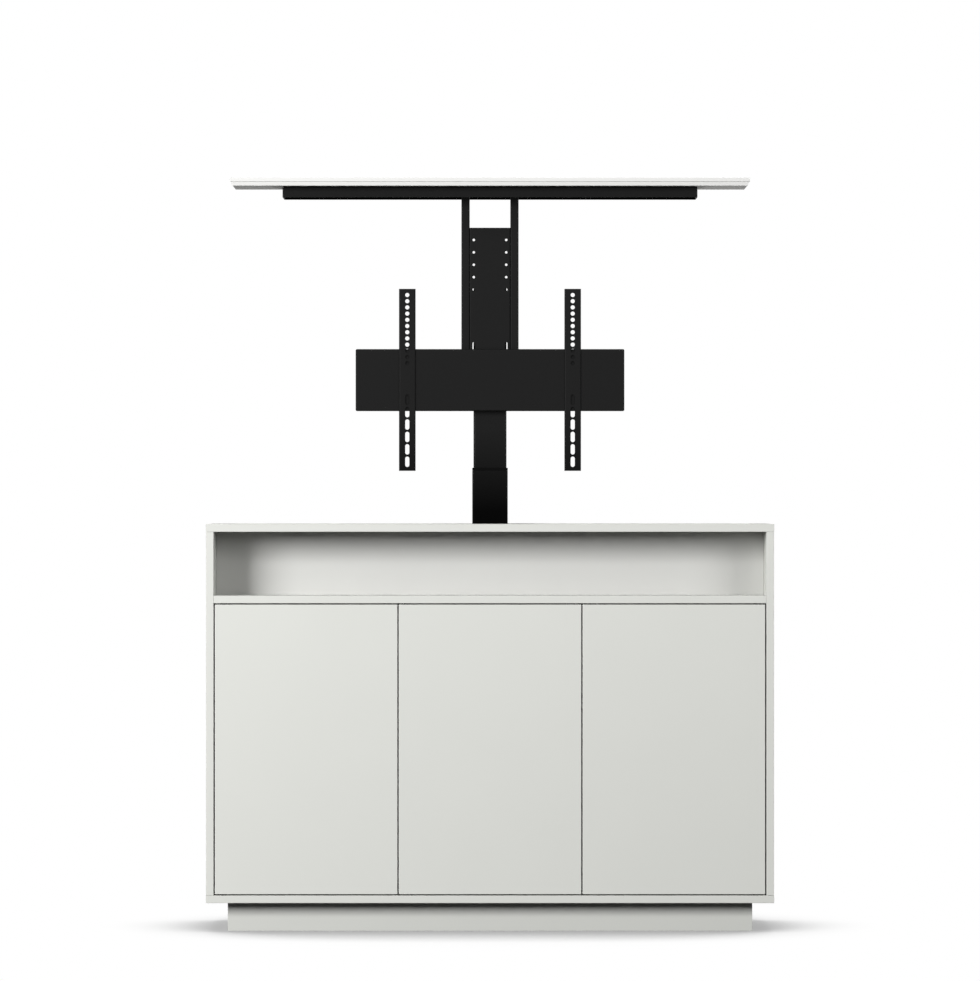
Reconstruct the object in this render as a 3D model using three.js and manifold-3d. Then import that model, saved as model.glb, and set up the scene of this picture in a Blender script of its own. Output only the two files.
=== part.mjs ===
// A cabinet that lifts a flat screen out of its top: a lacquered carcass with an open niche and three
// doors, and in the well behind them a telescopic column that carries the screen bracket and the lid.
// Millimetres, +X right, +Y to the back, +Z up. The origin is on the floor, under the carcass's middle.
// The lift is modelled lowered, with its lid flush, and its groups are then raised by stageTravel each.
import * as THREE from "three";
import { RoundedBoxGeometry } from "three/addons/geometries/RoundedBoxGeometry.js";
import { mergeVertices } from "three/addons/utils/BufferGeometryUtils.js";
import Module from "manifold-3d";

const wasm = await Module();
wasm.setup();

// Carcass
const cabinetWidth = 1350;
const cabinetDepth = 420;
const cabinetHeight = 970;
const boardThickness = 18;
const sideSetIn = 0.5;
const boardArris = 0.9;
const seam = 0.3;
const nicheHeight = 152;
const cutOverrun = 5;

// Plinth
const plinthHeight = 70;
const plinthSideSetBack = 50;
const plinthFrontSetBack = 50;
const plinthRearSetBack = 30;

// Doors and the pins that they turn on
const doorThickness = 18;
const doorGap = 3;
const pinRadius = 4;
const pinClearance = 0.3;
const pinDepth = 12;
const pinCollarRadius = 8;
const pinSetIn = 20;
const interiorSetBack = 38;
const interiorShelfShare = 0.5;

// Touch latches
const latchWidth = 20;
const latchHeight = 20;
const latchLength = 36;
const latchStandoff = 8;
const latchHeadRadius = 6;
const latchHeadLength = 3;
const latchRodRadius = 3.5;
const latchRodLength = 21;
const latchClearance = 0.3;
const latchFromPartition = 6;

// Lid and its opening
const lidFromCabinetSide = 50;
const lidFromBackPanel = 49;
const lidFromWellBoard = 18;
const lidBehindColumn = 21.2;
const lidBoardThickness = 9.4;
const lidUnderStep = 1;
const lidUnderBevel = 5;
const lidGap = 2;
const lidArris = 1;

// Lid beam and rails
const beamLength = 1000;
const beamDepth = 125;
const beamHeight = 26;
const beamSheet = 2.5;
const railWidth = 20;
const railDepth = 25;
const railWall = 2.5;
const railInnerX = 49.2;

// Screen bracket
const screenAllowance = 81;
const stripWidth = 40;
const stripLength = 440;
const stripSpacing = 400;
const stripSheet = 3;
const stripFlangeDepth = 12;
const stripTopBelowLid = 264.5;
const stripHoleRadius = 5;
const stripHolePitch = 15;
const stripHoleCount = 9;
const stripFirstHole = 14.8;
const stripSlotLength = 25;
const stripSlotPitch = 30;
const stripSlotCount = 5;
const stripLastSlot = 22;
const hookDrop = 8;
const hookSheet = 2.5;
const hookRise = 16;
const hookLipWidth = 13.5;
const crossbarLength = 650;
const crossbarHeight = 150;
const crossbarSheet = 3;
const crossbarFlange = 9;
const crossbarTopBelowLid = 410;
const slideClearance = 0.5;

// Centre plate
const plateSheet = 3;
const plateFlange = 9;
const plateTopBelowLid = 116.2;
const plateEndAboveCrossbarBottom = 20;
const plateHoleRadius = 3;
const plateHoleSpacing = 78.5;
const plateHolePitch = 30;
const plateHoleRows = 5;
const plateFirstHole = 29.5;
const plateSlotAboveCrossbar = 17;
const plateSlotLength = 60;

// Column
const stageTravel = 416;
const innerTubeWidth = 80;
const innerTubeDepth = 50;
const tubeWall = 2;
const tubeGap = 1;
const innerTopBelowLid = 252;
const innerReveal = 29;
const stageReveal = 2;
const collarHeight = 6;
const collarClearance = 0.3;
const stageFootClearance = 7;
const columnBehindPlate = 4;
const headWidth = 68;
const headSheet = 5;
const headRise = 60;

// Spindles and nuts
const lowerSpindleRadius = 9;
const upperSpindleRadius = 15;
const upperSpindleBore = 10.5;
const upperSpindleCollar = 19;
const upperSpindleCollarHeight = 6;
const spindleClearance = 0.3;
const spindleSeatDepth = 18;
const spindleOverReach = 30;
const nutFlange = 8;
const nutPlug = 12;

// Drive
const basePlateThickness = 4;
const basePlateMargin = 12;
const gearboxHeight = 30;
const motorRadius = 29;
const motorHeight = 96;
const motorNeckRadius = 18;
const motorNeckHeight = 6;
const motorFromColumn = 14;
const motorCapHeight = 8;
const motorCapInset = 4;
const clampHeight = 80;
const clampSheet = 3;
const clampFlange = 40;
const clampBelowTubeTop = 60;
const clampGrip = 30;

// Control box, its inlet and the cable outlet
const controlWidth = 170;
const controlDepth = 62;
const controlHeight = 40;
const controlFromColumn = 60;
const inletWidth = 30;
const inletHeight = 24;
const inletDepth = 14;
const inletProud = 2;
const inletWall = 3;
const inletRecess = 11;
const backPanelThickness = 8;
const backPanelSetIn = 2;
const outletRadius = 30;
const outletX = -330;
const outletHeight = 90;
const grommetRim = 6;
const grommetRimThickness = 1.6;
const grommetWall = 3;

// Counts of flats on round pieces
const roundSides = 24;
const holeCurveSteps = 6;
const boardCornerSteps = 1;

// Planes that the pieces share
const frontY = -cabinetDepth / 2;
const backY = cabinetDepth / 2;
const sideOuterX = cabinetWidth / 2 - sideSetIn;
const sideInnerX = sideOuterX - boardThickness;
const topUnderZ = cabinetHeight - boardThickness;
const bottomTopZ = plinthHeight + boardThickness;
const shelfTopZ = topUnderZ - nicheHeight;
const shelfUnderZ = shelfTopZ - boardThickness;
const backPanelBackY = backY - backPanelSetIn;
const backPanelFrontY = backPanelBackY - backPanelThickness;
const doorBackY = frontY + doorThickness;
const doorBottomZ = bottomTopZ + doorGap;
const doorTopZ = shelfUnderZ - doorGap;
const doorCount = 3;
const doorPitch = (2 * sideInnerX - doorGap) / doorCount;
const doorWidth = doorPitch - doorGap;
const pinY = frontY + doorThickness / 2;
const interiorFrontY = frontY + interiorSetBack;

// Sections of the column's stages
const middleTubeWidth = innerTubeWidth + 2 * (tubeWall + tubeGap);
const middleTubeDepth = innerTubeDepth + 2 * (tubeWall + tubeGap);
const fixedTubeWidth = middleTubeWidth + 2 * (tubeWall + tubeGap);
const fixedTubeDepth = middleTubeDepth + 2 * (tubeWall + tubeGap);

// Planes from the back forwards: lid, column, bracket and well board. The niche gets the depth that is left.
const lidWidth = cabinetWidth - 2 * lidFromCabinetSide;
const lidBackY = backPanelFrontY - lidFromBackPanel;
const columnY = lidBackY - lidBehindColumn - fixedTubeDepth / 2;
const plateFrontY = columnY - fixedTubeDepth / 2 - columnBehindPlate - plateFlange;
const plateBackY = plateFrontY + plateSheet;
const crossbarBackY = plateFrontY - seam;
const crossbarFrontY = crossbarBackY - crossbarFlange;
const stripFaceY = crossbarFrontY - slideClearance - stripSheet;
const lidFrontY = stripFaceY - screenAllowance;
const wellBoardBackY = lidFrontY - lidFromWellBoard;
const wellBoardFrontY = wellBoardBackY - boardThickness;

// Heights of the lift, lowered
const lidTopZ = cabinetHeight;
const lidSeamZ = lidTopZ - lidBoardThickness;
const underTopZ = lidSeamZ - seam;
const underBottomZ = underTopZ - lidBoardThickness;
const beamTopZ = underBottomZ - seam;
const beamY = (lidFrontY + lidBackY) / 2;
const crossbarTopZ = lidTopZ - crossbarTopBelowLid;
const crossbarBottomZ = crossbarTopZ - crossbarHeight;
const plateWidth = 2 * (railInnerX - seam);
const plateTopZ = lidTopZ - plateTopBelowLid;
const plateBottomZ = crossbarBottomZ + plateEndAboveCrossbarBottom;
const baseTopZ = bottomTopZ + seam + basePlateThickness;
const gearboxBottomZ = baseTopZ + seam;
const gearboxTopZ = gearboxBottomZ + gearboxHeight;
const fixedTubeBottomZ = gearboxTopZ + seam;
const innerTopZ = lidTopZ - innerTopBelowLid;
const middleTopZ = innerTopZ - innerReveal;
const fixedTopZ = middleTopZ - stageReveal;
const middleFootZ = fixedTubeBottomZ + stageFootClearance;
const middleTubeBottomZ = middleFootZ + nutFlange + seam;
const middleNutTopZ = middleTubeBottomZ + nutPlug;
const upperSpindleBottomZ = middleNutTopZ + seam;
const innerFootZ = upperSpindleBottomZ + upperSpindleCollarHeight + seam;
const innerTubeBottomZ = innerFootZ + nutFlange + seam;
const upperSpindleTopZ = innerTubeBottomZ + nutPlug + stageTravel + spindleOverReach;
const lowerSpindleTopZ = middleNutTopZ + stageTravel + spindleOverReach;

// The finishes, one new material for each mesh
const finishes = {
  whiteLacquer: { color: 0xe4e3df, roughness: 0.42, metalness: 0 },
  blackSteel: { color: 0x242424, roughness: 0.55, metalness: 0.2 },
  zincSteel: { color: 0xb9bcc0, roughness: 0.35, metalness: 0.9 },
  blackPlastic: { color: 0x1b1b1c, roughness: 0.5, metalness: 0 },
  greyPlastic: { color: 0x8d8f92, roughness: 0.5, metalness: 0 },
};

// A mesh named as a person would name the piece.
function piece(name, geometry, finish) {
  const mesh = new THREE.Mesh(geometry, new THREE.MeshStandardMaterial(finishes[finish]));
  mesh.name = name;
  return mesh;
}

// A closed geometry as a solid that can be joined and cut.
function solid(geometry) {
  const bare = geometry.clone();
  bare.deleteAttribute("normal");
  bare.deleteAttribute("uv");
  const merged = mergeVertices(bare);
  const triVerts = new Uint32Array(merged.index.array);
  return new wasm.Manifold(
    new wasm.Mesh({ numProp: 3, vertProperties: merged.attributes.position.array, triVerts }),
  );
}

// A solid back as a geometry.
function geometryOf(body) {
  const mesh = body.getMesh();
  const geometry = new THREE.BufferGeometry();
  geometry.setAttribute("position", new THREE.BufferAttribute(mesh.vertProperties, 3));
  geometry.setIndex(new THREE.BufferAttribute(mesh.triVerts, 1));
  geometry.computeVertexNormals();
  return geometry;
}

// The first geometry with the others joined to it.
function joined(base, ...others) {
  return geometryOf(others.reduce((body, other) => body.add(solid(other)), solid(base)));
}

// The first geometry with the others cut out of it.
function cutBy(base, ...others) {
  return geometryOf(others.reduce((body, other) => body.subtract(solid(other)), solid(base)));
}

// A block between two corners.
function block(x0, x1, y0, y1, z0, z1) {
  const geometry = new THREE.BoxGeometry(x1 - x0, y1 - y0, z1 - z0);
  return geometry.translate((x0 + x1) / 2, (y0 + y1) / 2, (z0 + z1) / 2);
}

// A board between two corners, its edges eased by the arris.
function board(x0, x1, y0, y1, z0, z1, arris = boardArris) {
  const geometry = new RoundedBoxGeometry(x1 - x0, y1 - y0, z1 - z0, boardCornerSteps, arris);
  return geometry.translate((x0 + x1) / 2, (y0 + y1) / 2, (z0 + z1) / 2);
}

// A rectangular block whose two ends lean in by the inset from its top down to its bottom.
function taperedBlock(x0, x1, y0, y1, z0, z1, inset) {
  const geometry = new THREE.BoxGeometry(x1 - x0, y1 - y0, z1 - z0);
  const corners = geometry.attributes.position;
  for (let i = 0; i < corners.count; i += 1) {
    if (corners.getZ(i) < 0) {
      corners.setX(i, corners.getX(i) - Math.sign(corners.getX(i)) * inset);
    }
  }
  return geometry.translate((x0 + x1) / 2, (y0 + y1) / 2, (z0 + z1) / 2);
}

// An upright cylinder.
function post(radius, x, y, z0, z1) {
  const geometry = new THREE.CylinderGeometry(radius, radius, z1 - z0, roundSides);
  return geometry.rotateX(Math.PI / 2).translate(x, y, (z0 + z1) / 2);
}

// A cylinder that lies along Y.
function rod(radius, x, z, y0, y1) {
  const geometry = new THREE.CylinderGeometry(radius, radius, y1 - y0, roundSides);
  return geometry.translate(x, (y0 + y1) / 2, z);
}

// A turned piece about an upright axis, from its profile of radius and height, bottom first.
function turned(profile, x, y) {
  const points = profile.map(([radius, z]) => new THREE.Vector2(radius, z));
  return new THREE.LatheGeometry(points, roundSides).rotateX(Math.PI / 2).translate(x, y, 0);
}

// A rectangular outline, as a shape or as a hole.
function rectangle(Kind, x0, x1, z0, z1) {
  const outline = new Kind();
  outline.moveTo(x0, z0);
  outline.lineTo(x1, z0);
  outline.lineTo(x1, z1);
  outline.lineTo(x0, z1);
  outline.closePath();
  return outline;
}

// A round hole, or an upright slot where the length is more than twice the radius.
function slotHole(x, z, radius, length) {
  const half = length / 2 - radius;
  const outline = new THREE.Path();
  outline.absarc(x, z + half, radius, 0, Math.PI, false);
  outline.absarc(x, z - half, radius, Math.PI, 2 * Math.PI, false);
  outline.closePath();
  return outline;
}

// An upright sheet whose outline is drawn in X and Z, from its front face backwards.
function sheetFacingFront(outline, y0, thickness) {
  const settings = { depth: thickness, bevelEnabled: false, curveSegments: holeCurveSteps };
  const geometry = new THREE.ExtrudeGeometry(outline, settings);
  return geometry.rotateX(Math.PI / 2).translate(0, y0 + thickness, 0);
}

// A rectangular tube on the column's axis, drawn in X and Y.
function columnTube(width, depth, wall, z0, z1) {
  const outline = rectangle(THREE.Shape, -width / 2, width / 2, -depth / 2, depth / 2);
  const halfX = width / 2 - wall;
  const halfY = depth / 2 - wall;
  outline.holes.push(rectangle(THREE.Path, -halfX, halfX, -halfY, halfY));
  const settings = { depth: z1 - z0, bevelEnabled: false };
  return new THREE.ExtrudeGeometry(outline, settings).translate(0, columnY, z0);
}

// The top panel, with the opening that the lid drops into: stepped, with its ends bevelled.
function topPanel() {
  const halfOpening = lidWidth / 2 + lidGap;
  const openingFront = lidFrontY - lidGap;
  const openingBack = lidBackY + lidGap;
  const stepX = halfOpening - lidUnderStep;
  const stepFront = openingFront + lidUnderStep;
  const stepBack = openingBack - lidUnderStep;
  const x1 = cabinetWidth / 2;
  return cutBy(
    board(-x1, x1, frontY, backY, topUnderZ, cabinetHeight),
    block(-halfOpening, halfOpening, openingFront, openingBack, lidSeamZ, cabinetHeight + cutOverrun),
    taperedBlock(-stepX, stepX, stepFront, stepBack, underBottomZ - lidGap, lidSeamZ + seam, lidUnderBevel),
  );
}

function sidePanel(side) {
  const x = side * (sideInnerX + boardThickness / 2);
  const half = boardThickness / 2;
  return board(x - half, x + half, frontY, backY, bottomTopZ + seam, topUnderZ - seam);
}

// The bore for a door pin.
function pinHole(x, z0, z1) {
  return post(pinRadius + pinClearance, x, pinY, z0, z1);
}

// The doors from left to right: each one's middle and the side that its pins are on.
const doors = [
  { name: "left", middleX: -doorPitch, hingeSide: -1 },
  { name: "middle", middleX: 0, hingeSide: -1 },
  { name: "right", middleX: doorPitch, hingeSide: 1 },
];
for (const door of doors) {
  door.pinX = door.middleX + door.hingeSide * (doorWidth / 2 - pinSetIn);
}

function bottomPanel() {
  const x1 = cabinetWidth / 2;
  const holes = doors.map((door) => pinHole(door.pinX, bottomTopZ - pinDepth, bottomTopZ + cutOverrun));
  return cutBy(board(-x1, x1, frontY, backY, plinthHeight, bottomTopZ), ...holes);
}

function nicheShelf() {
  const x1 = sideInnerX - seam;
  const holes = doors.map((door) => pinHole(door.pinX, shelfUnderZ - cutOverrun, shelfUnderZ + pinDepth));
  return cutBy(board(-x1, x1, frontY, wellBoardFrontY - seam, shelfUnderZ, shelfTopZ), ...holes);
}

function wellBoard() {
  const x1 = sideInnerX - seam;
  return board(-x1, x1, wellBoardFrontY, wellBoardBackY, bottomTopZ + seam, topUnderZ - seam);
}

function partition(side) {
  const x = (side * doorPitch) / 2;
  const half = boardThickness / 2;
  const z1 = shelfUnderZ - seam;
  return board(x - half, x + half, interiorFrontY, wellBoardFrontY - seam, bottomTopZ + seam, z1);
}

// A shelf between the walls of one compartment.
function interiorShelf(door) {
  const wallX = doorPitch / 2 - boardThickness / 2;
  const x0 = door.middleX < 0 ? -sideInnerX : door.middleX - wallX;
  const x1 = door.middleX > 0 ? sideInnerX : door.middleX + wallX;
  const z = bottomTopZ + (shelfUnderZ - bottomTopZ) * interiorShelfShare;
  const half = boardThickness / 2;
  return board(x0 + seam, x1 - seam, interiorFrontY, wellBoardFrontY - seam, z - half, z + half);
}

function backPanel() {
  const x1 = sideInnerX - seam;
  const z = bottomTopZ + outletHeight;
  return cutBy(
    block(-x1, x1, backPanelFrontY, backPanelBackY, bottomTopZ + seam, topUnderZ - seam),
    rod(outletRadius, outletX, z, backPanelFrontY - cutOverrun, backPanelBackY + cutOverrun),
  );
}

// The ring that lines the cable outlet, with its rim outside the back panel.
function cableGrommet() {
  const z = bottomTopZ + outletHeight;
  const rimY = backPanelBackY + seam;
  return cutBy(
    joined(
      rod(outletRadius - seam, outletX, z, backPanelFrontY, rimY + grommetRimThickness),
      rod(outletRadius + grommetRim, outletX, z, rimY, rimY + grommetRimThickness),
    ),
    rod(outletRadius - grommetWall, outletX, z, backPanelFrontY - cutOverrun, backY + cutOverrun),
  );
}

const plinthWidth = cabinetWidth - 2 * plinthSideSetBack;
const plinthFrontY = frontY + plinthFrontSetBack;
const plinthBackY = backY - plinthRearSetBack;
const plinthTopZ = plinthHeight - seam;

function plinthLong(y0) {
  return board(-plinthWidth / 2, plinthWidth / 2, y0, y0 + boardThickness, 0, plinthTopZ);
}

function plinthShort(side) {
  const outer = plinthWidth / 2;
  const xs = [side * (outer - boardThickness), side * outer].sort((a, b) => a - b);
  const y0 = plinthFrontY + boardThickness + seam;
  return board(xs[0], xs[1], y0, plinthBackY - boardThickness - seam, 0, plinthTopZ);
}

// A door, drawn about the axis of its pins.
function doorBoard(door) {
  const hingeEdge = door.hingeSide * pinSetIn;
  const freeEdge = hingeEdge - door.hingeSide * doorWidth;
  const x0 = Math.min(hingeEdge, freeEdge);
  const x1 = Math.max(hingeEdge, freeEdge);
  const holeRadius = pinRadius + pinClearance;
  return cutBy(
    board(x0, x1, frontY - pinY, doorBackY - pinY, doorBottomZ, doorTopZ),
    post(holeRadius, 0, 0, doorBottomZ - cutOverrun, doorBottomZ + pinDepth + pinClearance),
    post(holeRadius, 0, 0, doorTopZ - pinDepth - pinClearance, doorTopZ + cutOverrun),
  );
}

// A pin with a collar in the gap above or below the door, which is what the door turns on.
function doorPin(door, low) {
  const gapMiddle = low ? bottomTopZ + doorGap / 2 : shelfUnderZ - doorGap / 2;
  const collarHalf = doorGap / 2 - seam;
  const pinHalf = doorGap / 2 + pinDepth - pinClearance;
  const profile = [
    [0, gapMiddle - pinHalf],
    [pinRadius, gapMiddle - pinHalf],
    [pinRadius, gapMiddle - collarHalf],
    [pinCollarRadius, gapMiddle - collarHalf],
    [pinCollarRadius, gapMiddle + collarHalf],
    [pinRadius, gapMiddle + collarHalf],
    [pinRadius, gapMiddle + pinHalf],
    [0, gapMiddle + pinHalf],
  ];
  return turned(profile, door.pinX, pinY);
}

// Where a door's latch stands: under the niche shelf, next to the wall at the door's free edge.
function latchAt(door) {
  const away = door.hingeSide;
  const wallX = door.middleX - away * (doorPitch / 2 - boardThickness / 2);
  const x = wallX + away * (latchFromPartition + latchWidth / 2);
  const headY = doorBackY + seam;
  const frontFace = headY + latchStandoff;
  return { x, z: shelfUnderZ - seam - latchHeight / 2, headY, frontFace };
}

function latchHousing(door) {
  const at = latchAt(door);
  const half = latchWidth / 2;
  const z0 = at.z - latchHeight / 2;
  const boreEnd = at.headY + latchHeadLength + latchRodLength + latchStandoff;
  return cutBy(
    block(at.x - half, at.x + half, at.frontFace, at.frontFace + latchLength, z0, z0 + latchHeight),
    rod(latchRodRadius + latchClearance, at.x, at.z, at.frontFace - cutOverrun, boreEnd),
  );
}

// The sprung plunger, with the pad that bears on the back of the door.
function latchPlunger(door) {
  const at = latchAt(door);
  const padEnd = at.headY + latchHeadLength;
  return joined(
    rod(latchHeadRadius, at.x, at.z, at.headY, padEnd),
    rod(latchRodRadius, at.x, at.z, at.headY + latchHeadLength / 2, padEnd + latchRodLength),
  );
}

function lidBoard() {
  return board(-lidWidth / 2, lidWidth / 2, lidFrontY, lidBackY, lidSeamZ, lidTopZ, lidArris);
}

// The lid's lower board, stepped in a little, its ends bevelled to find their way into the opening.
function lidUnderboard() {
  const x1 = lidWidth / 2 - lidUnderStep;
  const y0 = lidFrontY + lidUnderStep;
  return taperedBlock(-x1, x1, y0, lidBackY - lidUnderStep, underBottomZ, underTopZ, lidUnderBevel);
}

// The folded beam under the lid, open below.
function lidBeam() {
  const x1 = beamLength / 2;
  const y1 = beamDepth / 2;
  const inX = x1 - beamSheet;
  const inY = y1 - beamSheet;
  const z0 = beamTopZ - beamHeight;
  return cutBy(
    block(-x1, x1, beamY - y1, beamY + y1, z0, beamTopZ),
    block(-inX, inX, beamY - inY, beamY + inY, z0 - cutOverrun, beamTopZ - beamSheet),
  );
}

// A channel from behind the crossbar up into the beam, open at its back.
function lidRail(side) {
  const xs = [side * railInnerX, side * (railInnerX + railWidth)].sort((a, b) => a - b);
  const z1 = beamTopZ - beamSheet - seam;
  const y1 = plateFrontY + railDepth;
  return cutBy(
    block(xs[0], xs[1], plateFrontY, y1, plateBottomZ, z1),
    block(
      xs[0] + railWall,
      xs[1] - railWall,
      plateFrontY + railWall,
      y1 + cutOverrun,
      plateBottomZ - cutOverrun,
      z1 + cutOverrun,
    ),
  );
}

// The wide bar that the strips hang on, folded back along all four edges.
function crossbar() {
  const x1 = crossbarLength / 2;
  const inX = x1 - crossbarSheet;
  return cutBy(
    block(-x1, x1, crossbarFrontY, crossbarBackY, crossbarBottomZ, crossbarTopZ),
    block(
      -inX,
      inX,
      crossbarFrontY + crossbarSheet,
      crossbarBackY + cutOverrun,
      crossbarBottomZ + crossbarSheet,
      crossbarTopZ - crossbarSheet,
    ),
  );
}

// The punched plate between the rails, with its long edges folded back.
function centrePlate() {
  const half = plateWidth / 2;
  const outline = rectangle(THREE.Shape, -half, half, plateBottomZ, plateTopZ);
  const slotZ = crossbarTopZ + plateSlotAboveCrossbar - plateSlotLength / 2;
  for (const x of [-plateHoleSpacing / 2, plateHoleSpacing / 2]) {
    for (let row = 0; row < plateHoleRows; row += 1) {
      const z = plateTopZ - plateFirstHole - row * plateHolePitch;
      outline.holes.push(slotHole(x, z, plateHoleRadius, 2 * plateHoleRadius));
    }
    outline.holes.push(slotHole(x, slotZ, plateHoleRadius, plateSlotLength));
  }
  const flangeEnd = plateFrontY + plateFlange;
  const flangeStart = plateFrontY + plateSheet / 2;
  return joined(
    sheetFacingFront(outline, plateFrontY, plateSheet),
    block(-half, -half + plateSheet, flangeStart, flangeEnd, plateBottomZ, plateTopZ),
    block(half - plateSheet, half, flangeStart, flangeEnd, plateBottomZ, plateTopZ),
  );
}

// A punched strip for the back of the screen, hooked over the crossbar's upper and lower edges on both
// sides of its holes.
function screenStrip() {
  const half = stripWidth / 2;
  const topZ = lidTopZ - stripTopBelowLid;
  const bottomZ = topZ - stripLength;
  const outline = rectangle(THREE.Shape, -half, half, bottomZ, topZ);
  for (let hole = 0; hole < stripHoleCount; hole += 1) {
    const z = topZ - stripFirstHole - hole * stripHolePitch;
    outline.holes.push(slotHole(0, z, stripHoleRadius, 2 * stripHoleRadius));
  }
  for (let slot = 0; slot < stripSlotCount; slot += 1) {
    const z = bottomZ + stripLastSlot + slot * stripSlotPitch;
    outline.holes.push(slotHole(0, z, stripHoleRadius, stripSlotLength));
  }
  const flangeStart = stripFaceY + stripSheet / 2;
  const flangeEnd = stripFaceY + stripFlangeDepth;
  const lipFront = crossbarBackY + slideClearance;
  const lipBack = lipFront + hookSheet;
  const upperZ = crossbarTopZ + slideClearance;
  const lowerZ = crossbarBottomZ - slideClearance;
  const extras = [];
  for (const x0 of [-half, half - hookSheet]) {
    const x1 = x0 + hookSheet;
    extras.push(block(x0, x1, flangeStart, flangeEnd, upperZ, topZ));
    extras.push(block(x0, x1, flangeStart, flangeEnd, bottomZ, lowerZ));
    extras.push(block(x0, x1, flangeStart, lipBack, upperZ, upperZ + hookRise));
    extras.push(block(x0, x1, flangeStart, lipBack, lowerZ - hookRise, lowerZ));
  }
  for (const x0 of [-half, half - hookLipWidth]) {
    const x1 = x0 + hookLipWidth;
    extras.push(block(x0, x1, lipFront, lipBack, crossbarTopZ - hookDrop, upperZ + hookRise));
    extras.push(block(x0, x1, lipFront, lipBack, lowerZ - hookRise, crossbarBottomZ + hookDrop));
  }
  return joined(sheetFacingFront(outline, stripFaceY, stripSheet), ...extras);
}

// The angle on top of the inner tube that carries the centre plate.
function columnHead() {
  const half = headWidth / 2;
  const z0 = innerTopZ + seam;
  const y0 = plateBackY + seam;
  return joined(
    block(-half, half, y0, columnY + innerTubeDepth / 2, z0, z0 + headSheet),
    block(-half, half, y0, y0 + headSheet, z0 + headSheet / 2, z0 + headRise),
  );
}

// A collar of the tube's own outline on its top, closer round the stage inside it.
function tubeCollar(width, depth, topZ) {
  const wall = tubeWall + tubeGap - collarClearance;
  return columnTube(width, depth, wall, topZ - collarHeight, topZ);
}

// The block in a stage's foot: a flange under the tube, a plug inside it, and the spindle's bore.
function footNut(width, depth, footZ, boreRadius) {
  const flangeX = width / 2 + tubeGap - collarClearance;
  const flangeY = depth / 2 + tubeGap - collarClearance;
  const plugX = width / 2 - tubeWall - seam;
  const plugY = depth / 2 - tubeWall - seam;
  const plugTopZ = footZ + nutFlange + seam + nutPlug;
  return cutBy(
    joined(
      block(-flangeX, flangeX, columnY - flangeY, columnY + flangeY, footZ, footZ + nutFlange),
      block(-plugX, plugX, columnY - plugY, columnY + plugY, footZ + nutFlange / 2, plugTopZ),
    ),
    post(boreRadius, 0, columnY, footZ - cutOverrun, plugTopZ + cutOverrun),
  );
}

function lowerSpindle() {
  return post(lowerSpindleRadius, 0, columnY, gearboxTopZ - spindleSeatDepth, lowerSpindleTopZ);
}

// The hollow screw that the lower one turns, standing on a collar in the middle stage's foot.
function upperSpindle() {
  const collarTopZ = upperSpindleBottomZ + upperSpindleCollarHeight;
  const profile = [
    [upperSpindleBore, upperSpindleBottomZ],
    [upperSpindleCollar, upperSpindleBottomZ],
    [upperSpindleCollar, collarTopZ],
    [upperSpindleRadius, collarTopZ],
    [upperSpindleRadius, upperSpindleTopZ],
    [upperSpindleBore, upperSpindleTopZ],
    [upperSpindleBore, upperSpindleBottomZ],
  ];
  return turned(profile, 0, columnY);
}

const motorX = fixedTubeWidth / 2 + motorFromColumn + motorRadius;

function basePlate() {
  const x0 = -fixedTubeWidth / 2 - basePlateMargin;
  const x1 = motorX + motorRadius + basePlateMargin;
  const halfY = fixedTubeDepth / 2 + basePlateMargin;
  return block(x0, x1, columnY - halfY, columnY + halfY, bottomTopZ + seam, baseTopZ);
}

// The gear housing that the fixed tube and the motor stand on.
function gearboxHousing() {
  const halfY = fixedTubeDepth / 2;
  const x1 = motorX + motorRadius;
  const boreZ = gearboxTopZ - spindleSeatDepth - spindleClearance;
  const boreRadius = lowerSpindleRadius + spindleClearance;
  return cutBy(
    block(-fixedTubeWidth / 2, x1, columnY - halfY, columnY + halfY, gearboxBottomZ, gearboxTopZ),
    post(boreRadius, 0, columnY, boreZ, gearboxTopZ + cutOverrun),
  );
}

function driveMotor() {
  const z0 = gearboxTopZ + seam;
  const neckZ = z0 + motorNeckHeight;
  const capZ = neckZ + motorHeight;
  const profile = [
    [0, z0],
    [motorNeckRadius, z0],
    [motorNeckRadius, neckZ],
    [motorRadius, neckZ],
    [motorRadius, capZ],
    [motorRadius - motorCapInset, capZ + motorCapHeight],
    [0, capZ + motorCapHeight],
  ];
  return turned(profile, motorX, columnY);
}

// The bent bracket that holds the fixed tube to the back panel.
function tubeClamp() {
  const innerX = fixedTubeWidth / 2 + seam;
  const outerX = innerX + clampSheet;
  const y0 = columnY + fixedTubeDepth / 2 - clampGrip;
  const y1 = backPanelFrontY - seam;
  const z1 = fixedTopZ - clampBelowTubeTop;
  const z0 = z1 - clampHeight;
  return joined(
    block(-outerX - clampFlange, outerX + clampFlange, y1 - clampSheet, y1, z0, z1),
    block(-outerX, -innerX, y0, y1 - clampSheet / 2, z0, z1),
    block(innerX, outerX, y0, y1 - clampSheet / 2, z0, z1),
  );
}

const controlX = -fixedTubeWidth / 2 - controlFromColumn - controlWidth / 2;
const controlY = backPanelFrontY - controlDepth;
const controlTopZ = bottomTopZ + seam + controlHeight;

// The box for the drive's electronics, with a pocket for the mains inlet in its end.
function controlBox() {
  const x0 = controlX - controlWidth / 2;
  const half = controlDepth / 2;
  const middleZ = bottomTopZ + seam + controlHeight / 2;
  return cutBy(
    board(x0, x0 + controlWidth, controlY - half, controlY + half, bottomTopZ + seam, controlTopZ),
    block(
      x0 - cutOverrun,
      x0 + inletDepth,
      controlY - inletWidth / 2 - seam,
      controlY + inletWidth / 2 + seam,
      middleZ - inletHeight / 2 - seam,
      middleZ + inletHeight / 2 + seam,
    ),
  );
}

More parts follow.
